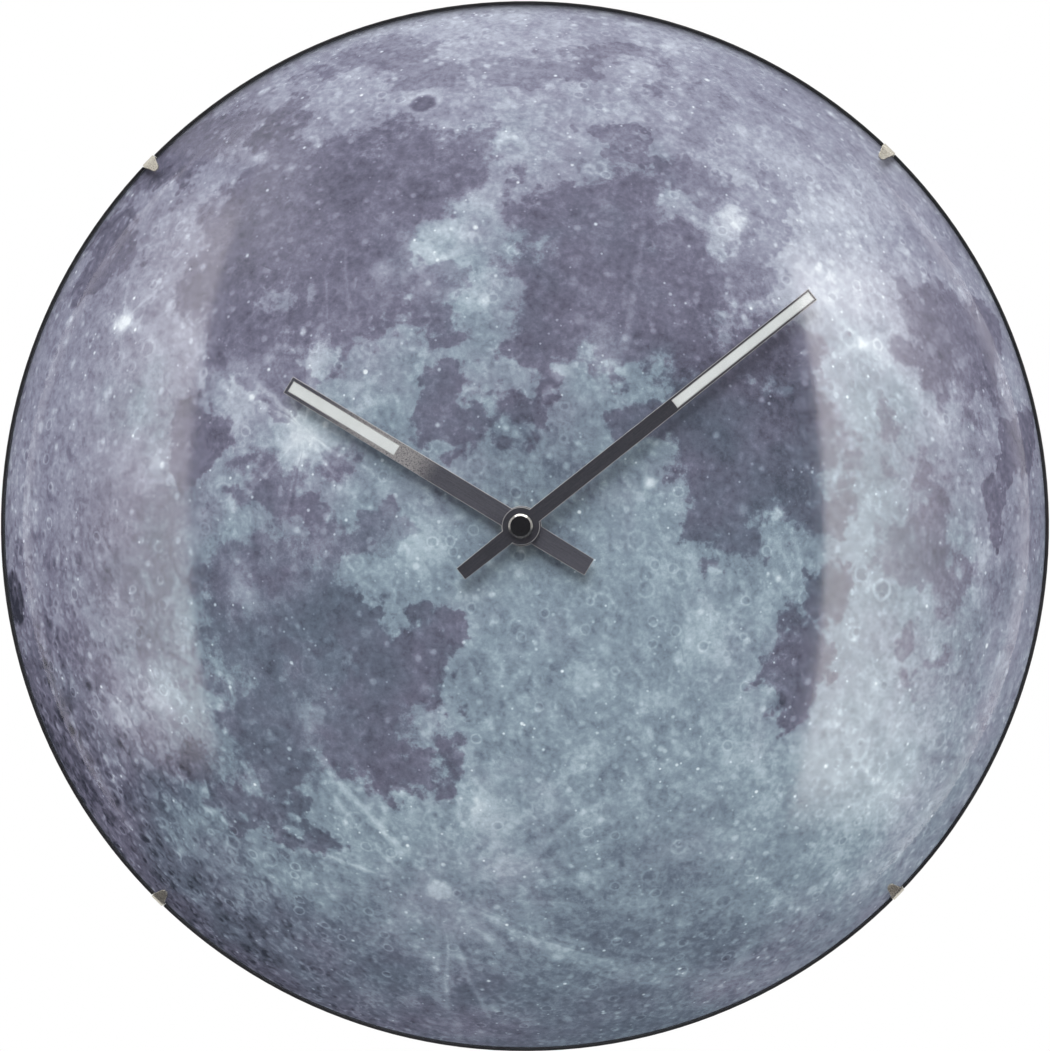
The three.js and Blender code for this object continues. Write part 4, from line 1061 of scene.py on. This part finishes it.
def clip_body(angle):
    path = eased(clip_line(), CLIP_BEND, CLIP_BEND_STEPS, closed=False)
    tip_start, tip_end = path[-2:]
    shares = [step / CLIP_TIP_STEPS for step in range(1, CLIP_TIP_STEPS + 1)]
    path = path[:-1] + [tip_start.lerp(tip_end, share) for share in shares]
    body = bmesh.new()
    sections = []
    for index, point in enumerate(path):
        ahead = path[min(index + 1, len(path) - 1)] - path[max(index - 1, 0)]
        normal = Vector((-ahead.y, ahead.x)).normalized() * CLIP_THICKNESS / 2
        half = CLIP_WIDTH / 2
        if index >= len(path) - CLIP_TIP_STEPS:
            half = tip_half_width((path[-1] - point).length, (tip_end - tip_start).length)
        outside, inside = point + normal, point - normal
        section = [(outside, -half), (outside, half), (inside, half), (inside, -half)]
        sections.append([body.verts.new((place.x, aside, place.y)) for place, aside in section])
    for near, far in zip(sections, sections[1:]):
        skin(body, near, far)
    body.faces.new(sections[0])
    body.faces.new(sections[-1])
    hole = rod((CLIP_SCREW_RADIUS, 0), SCREW_RADIUS + THREAD_GAP, 0, PANEL_REAR, HOLE_SIDES)
    return turn(cut(tidy(body), hole), angle)


def add_clips():
    for number, angle in enumerate(CLIP_ANGLES, 1):
        add_body(f"clip_{number}", clip_body(angle), f"glass_clip_{number}", edge=CLIP_EDGE)


# Screws

def screw_body(node):
    """A pan head with a cross, its shank towards the viewer."""
    low, tip = levels(node)
    head = [(SCREW_HEAD * share, low + level) for share, level in SCREW_SECTION]
    seat = head[-1][1]
    shank = [(SCREW_RADIUS, seat), (SCREW_RADIUS, tip - SCREW_POINT), (0, tip)]
    reach, width, depth = SCREW_CROSS
    body = turned(head + shank, SCREW_SIDES)
    across = block(-reach, reach, -width / 2, width / 2, low - OVERLAP, low + depth)
    upright = block(-width / 2, width / 2, -reach, reach, low - OVERLAP, low + depth)
    return cut(cut(body, across), upright)


def add_screws():
    for index, node in enumerate(node for node in SLOT_OF if "screw" in node):
        body = move(turn(screw_body(node), SCREW_TURN * index), *drawn_place(node))
        add_body(node.replace("screw", "bolt"), body, node, edge=SCREW_EDGE, segments=1)


# Wall hanger

def add_hanger():
    x, y = HANGER_HALF_WIDTH, HANGER_TOP - HANGER_MIDDLE
    corners = [(-x, -y), (x, -y), (x, y), (-x, y)]
    outline = eased(corners, HANGER_CORNER, HANGER_CORNER_STEPS)
    plate = move(prism(outline, HANGER_REAR, HANGER_FRONT), 0, HANGER_MIDDLE)
    start, end = HANGER_REAR - OVERLAP, HANGER_FRONT + OVERLAP
    nail = -AXIS_HEIGHT / MM
    half = KEYHOLE_SLOT / 2
    slot = [(-half, nail - KEYHOLE_DROP), (half, nail - KEYHOLE_DROP)]
    slot += circle(half, HOLE_SIDES, (0, nail - half), 0, pi)
    screws = [rod(place, SCREW_RADIUS + THREAD_GAP, start, end, HOLE_SIDES) for place in HANGER_SCREWS]
    body = cut(plate, rod((0, nail - KEYHOLE_DROP), KEYHOLE_RADIUS, start, end), *screws)
    add_body("hanger", cut(body, prism(slot, start, end)), "wall_hanger", edge=HANGER_EDGE)


# Hands

def hand_outline(hand):
    half_tip = hand["tip_width"] / 2
    meet = asin(hand["hub_width"] / 2 / hand["boss"])
    upper = circle(hand["boss"], BOSS_STEPS, start=meet, end=pi - meet)
    lower = circle(hand["boss"], BOSS_STEPS, start=pi + meet, end=2 * pi - meet)
    tip = [(hand["length"], -half_tip), (hand["length"], half_tip)]
    tail = [(-hand["tail"], half_tip), (-hand["tail"], -half_tip)]
    return tip + upper + tail + lower


def strip_block(hand, gap, low, high):
    half = hand["strip_width"] / 2 + gap
    return block(hand["strip_start"] - gap, hand["strip_end"] + gap, -half, half, low, high)


def add_hand(name, hand):
    collar_rear, high = levels(f"{name}_hand")
    low = high - HAND_THICKNESS
    plate = prism(hand_outline(hand), low, high)
    collar = rod((0, 0), hand["collar"], collar_rear, (low + high) / 2)
    pocket = strip_block(hand, POCKET_GAP, high - POCKET_DEPTH, high + OVERLAP)
    bore = rod((0, 0), hand["bore"], collar_rear - OVERLAP, high + OVERLAP)
    body = turn(cut(join(plate, collar), bore, pocket), 90 - hand["angle"])
    # The hands' eased edges wear the pale metal of a painted highlight
    add_body(f"{name}_pointer", body, f"{name}_hand", f"{name}_gunmetal", "edge_metal", edge=HAND_EDGE)
    strip = turn(strip_block(hand, 0.0, *levels(f"{name}_strip")), 90 - hand["angle"])
    add_body(f"{name}_lume", strip, f"{name}_strip", edge=STRIP_EDGE)


def add_hands():
    for name, hand in HANDS.items():
        add_hand(name, hand)


def add_cap():
    """A black top inside a polished slope."""
    low, high = levels("hand_cap")
    radius = radius_of("hand_cap")
    profile = [
        (0, high - CAP_ROOF), (CAP_BORE, high - CAP_ROOF), (CAP_BORE, low), (radius, low),
        (radius, high - CAP_SLOPE), (radius - CAP_EDGE, high), (0, high),
    ]
    cap = add_body("cap", turned(profile, SMALL_SIDES), "hand_cap", "gloss_black", "polished_metal")
    cap.data.set_sharp_from_angle(angle=CAP_SHARP_ANGLE)
    least, most = CAP_SLOPE_FACING
    for face in cap.data.polygons:
        if least < -face.normal.y < most:
            face.material_index = 1


# Movement

def add_battery():
    low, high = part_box("battery")
    centre = middle("battery")
    left, right = low.x / MM, high.x / MM
    radius = (high.z - low.z) / 2 / MM
    shoulder = right - NUB_LENGTH
    profile = [
        (0, left + BATTERY_DISH), (radius - BATTERY_DISH_RIM[0], left + BATTERY_DISH),
        (radius - BATTERY_DISH_RIM[1], left), (radius - BATTERY_LIP, left), (radius, left + BATTERY_LIP),
        (radius, shoulder - BATTERY_LIP), (radius - BATTERY_LIP, shoulder),
        (NUB_RADIUS + NUB_GROOVE_RIM[0], shoulder), (NUB_RADIUS + NUB_GROOVE_RIM[1], shoulder - NUB_GROOVE),
        (NUB_RADIUS, shoulder - NUB_GROOVE), (NUB_RADIUS, right - NUB_EDGE), (NUB_RADIUS - NUB_EDGE, right),
        (0, right),
    ]
    lying = moved(turned(profile, SMALL_SIDES), Matrix.Rotation(pi / 2, 4, "Y"))
    body = move(lying, 0, (centre.z - AXIS_HEIGHT) / MM, -centre.y / MM)
    add_body("cell", body, "battery")


def add_knob():
    x, y = drawn_place("setting_knob")
    radius = radius_of("setting_knob")
    low, high = levels("setting_knob")
    outline = []
    steps = KNOB_RIDGES * KNOB_RIDGE_STEPS
    for step in range(steps):
        angle = 2 * pi * step / steps
        ridge = (1 + cos(angle * KNOB_RIDGES)) / 2
        reach = radius - KNOB_GRIP * (1 - ridge)
        outline.append((x + reach * cos(angle), y + reach * sin(angle)))
    dish = rod((x, y), radius - KNOB_DISH_RIM, low - OVERLAP, low + KNOB_DISH)
    add_body("knob", cut(prism(outline, low, high), dish), "setting_knob", edge=KNOB_EDGE)


EASED_COPIES = {
    "movement_case": CASE_EDGE, "movement_cover": CASE_EDGE, "bush_nut": NUT_EDGE,
    "contact_negative": CONTACT_EDGE, "contact_positive": CONTACT_EDGE,
}


def add_movement():
    """Copies of CAD pieces with their edges eased."""
    for node, width in EASED_COPIES.items():
        body = bmesh.new()
        body.from_mesh(frame["nodes"][node].data)
        bmesh.ops.remove_doubles(body, verts=body.verts, dist=CAD_MERGE_DISTANCE * MM)
        bmesh.ops.dissolve_limit(body, angle_limit=FLAT_ANGLE, verts=body.verts, edges=body.edges)
        add_piece(f"{node}_eased", body, node, edge=width)


def dress_kept_nodes():
    """CAD pieces that stay as they are wear the look of their slot."""
    for node in [node for node in SLOT_OF if node not in REPLACED]:
        looks = frame["nodes"][node].data.materials
        looks.clear()
        looks.append(LOOKS[SLOT_OF[node]])


# Stage: light, floor, background and camera

def around(azimuth, distance, height):
    """A place in front of the clock, by its angle to the right and its height over the hand axis."""
    swing = radians(azimuth)
    return (distance * sin(swing), -distance * cos(swing), AXIS_HEIGHT + height)


def add_lamp(name, elevation, size, watts, reflected):
    light = bpy.data.lights.new(name, "AREA")
    light.shape = "RECTANGLE"
    light.size, light.size_y = size
    light.energy = watts
    lamp = new_object(name, light)
    lift = radians(elevation)
    lamp.location = around(0, LAMP_DISTANCE * cos(lift), LAMP_DISTANCE * sin(lift))
    lamp.rotation_mode = "QUATERNION"
    aim = Vector((0, 0, AXIS_HEIGHT)) - lamp.location
    lamp.rotation_quaternion = aim.to_track_quat("-Z", "Y")
    lamp.visible_camera = False
    lamp.visible_glossy = reflected


def glowing(name, glow):
    """Light that fades from a pane's inner edge to its outer one, and towards both ends."""
    def build(g):
        across, along = g.split(g.node("ShaderNodeTexCoord").outputs["UV"])[:2]
        from_middle = g.math("ABSOLUTE", g.math("SUBTRACT", along, 0.5))
        fade = g.spread(across, 0.0, 1.0, glow, PANE_OUTER_GLOW)
        strength = g.times(fade, g.spread(from_middle, *PANE_END))
        return g.node("ShaderNodeEmission", {"Color": PANE_TINT, "Strength": strength}).outputs[0]

    material(name, build)


def add_pane(name, inner, outer, lift, glow):
    """A tall pane of light whose inner edge bends towards the camera above and below."""
    body = bmesh.new()
    chart = body.loops.layers.uv.new("pane")
    corners = {}
    for row in range(PANE_ROWS + 1):
        height = lift + PANE_REACH * (2 * row / PANE_ROWS - 1)
        bend = copysign(PANE_BEND, inner) * height**2
        for column in range(PANE_COLUMNS + 1):
            azimuth = inner - bend + (outer - inner) * column / PANE_COLUMNS
            corners[column, row] = body.verts.new(around(azimuth, PANE_DISTANCE, height))
    for row in range(PANE_ROWS):
        for column in range(PANE_COLUMNS):
            spots = [(column, row), (column + 1, row), (column + 1, row + 1), (column, row + 1)]
            face = body.faces.new([corners[spot] for spot in spots])
            for loop, (across, along) in zip(face.loops, spots):
                loop[chart].uv = (across / PANE_COLUMNS, along / PANE_ROWS)
    pane = new_object(name, plain_mesh(name, body))
    glowing(name, glow)
    pane.data.materials.append(LOOKS[name])
    pane.visible_camera = False


def add_lights():
    for name, pane in PANES.items():
        add_pane(name, *pane)
    for name, lamp in LAMPS.items():
        add_lamp(name, *lamp)


def add_world():
    """White beside, above and behind the clock, a dim room in front, and white past it for the camera."""
    world = bpy.data.worlds.new("studio")
    world.use_nodes = True
    world.node_tree.nodes.clear()
    g = Graph(world.node_tree)
    right, back, up = g.split(g.node("ShaderNodeTexCoord").outputs["Generated"])
    beside = g.times(g.spread(back, *BESIDE_BACK), g.spread(up, *BESIDE_UP))
    corners = g.times(g.spread(g.math("ABSOLUTE", right), *CORNER), g.spread(up, *CORNER))
    above = g.math("MAXIMUM", corners, g.spread(up, *ABOVE))
    behind = g.spread(back, *BEHIND)
    bright = g.math("MAXIMUM", g.math("MAXIMUM", beside, above), behind)
    rays = g.node("ShaderNodeLightPath").outputs
    mirrored = g.math("MAXIMUM", rays["Is Glossy Ray"], rays["Is Transmission Ray"])
    looking = g.math("MAXIMUM", rays["Is Camera Ray"], g.times(mirrored, behind))
    seen = g.mix(looking, g.mix(bright, DIM, WHITE), WHITE)
    shader = g.node("ShaderNodeBackground", {"Color": seen}).outputs[0]
    g.node("ShaderNodeOutputWorld", {"Surface": shader})
    bpy.context.scene.world = world


def add_floor():
    body = bmesh.new()
    corners = [(side * FLOOR_REACH, -FLOOR_AHEAD) for side in (-1, 1)]
    corners += [(side * FLOOR_REACH, FLOOR_REACH) for side in (1, -1)]
    body.faces.new([body.verts.new((x, y, AXIS_HEIGHT - FLOOR_DROP)) for x, y in corners])
    floor = new_object("floor", plain_mesh("floor", body))
    floor.data.materials.append(LOOKS["pale_floor"])


def add_camera():
    lens = bpy.data.cameras.new("camera")
    lens.sensor_width = SENSOR
    pixel = CLOCK_RADIUS * MM / PHOTO_OUTLINE_RADIUS
    lens.lens = SENSOR * CAMERA_DISTANCE / (max(PHOTO_SIZE) * pixel)
    camera = new_object("camera", lens)
    swing = radians(CAMERA_RIGHT)
    back = Vector((sin(swing), -cos(swing), 0))
    target = Vector((CAMERA_AIM[0] * MM, -LIP_TOP * MM, AXIS_HEIGHT + CAMERA_AIM[1] * MM))
    camera.location = target + back * CAMERA_DISTANCE
    camera.rotation_mode = "QUATERNION"
    roll = Quaternion((0, 0, 1), radians(-CAMERA_ROLL))
    camera.rotation_quaternion = (-back).to_track_quat("-Z", "Y") @ roll
    bpy.context.scene.camera = camera


add_panel()
add_dial()
add_glass()
add_clips()
add_screws()
add_hanger()
add_hands()
add_cap()
add_battery()
add_knob()
add_movement()
dress_kept_nodes()
add_lights()
add_world()
add_floor()
add_camera()
bpy.context.scene.view_settings.view_transform = "Standard"
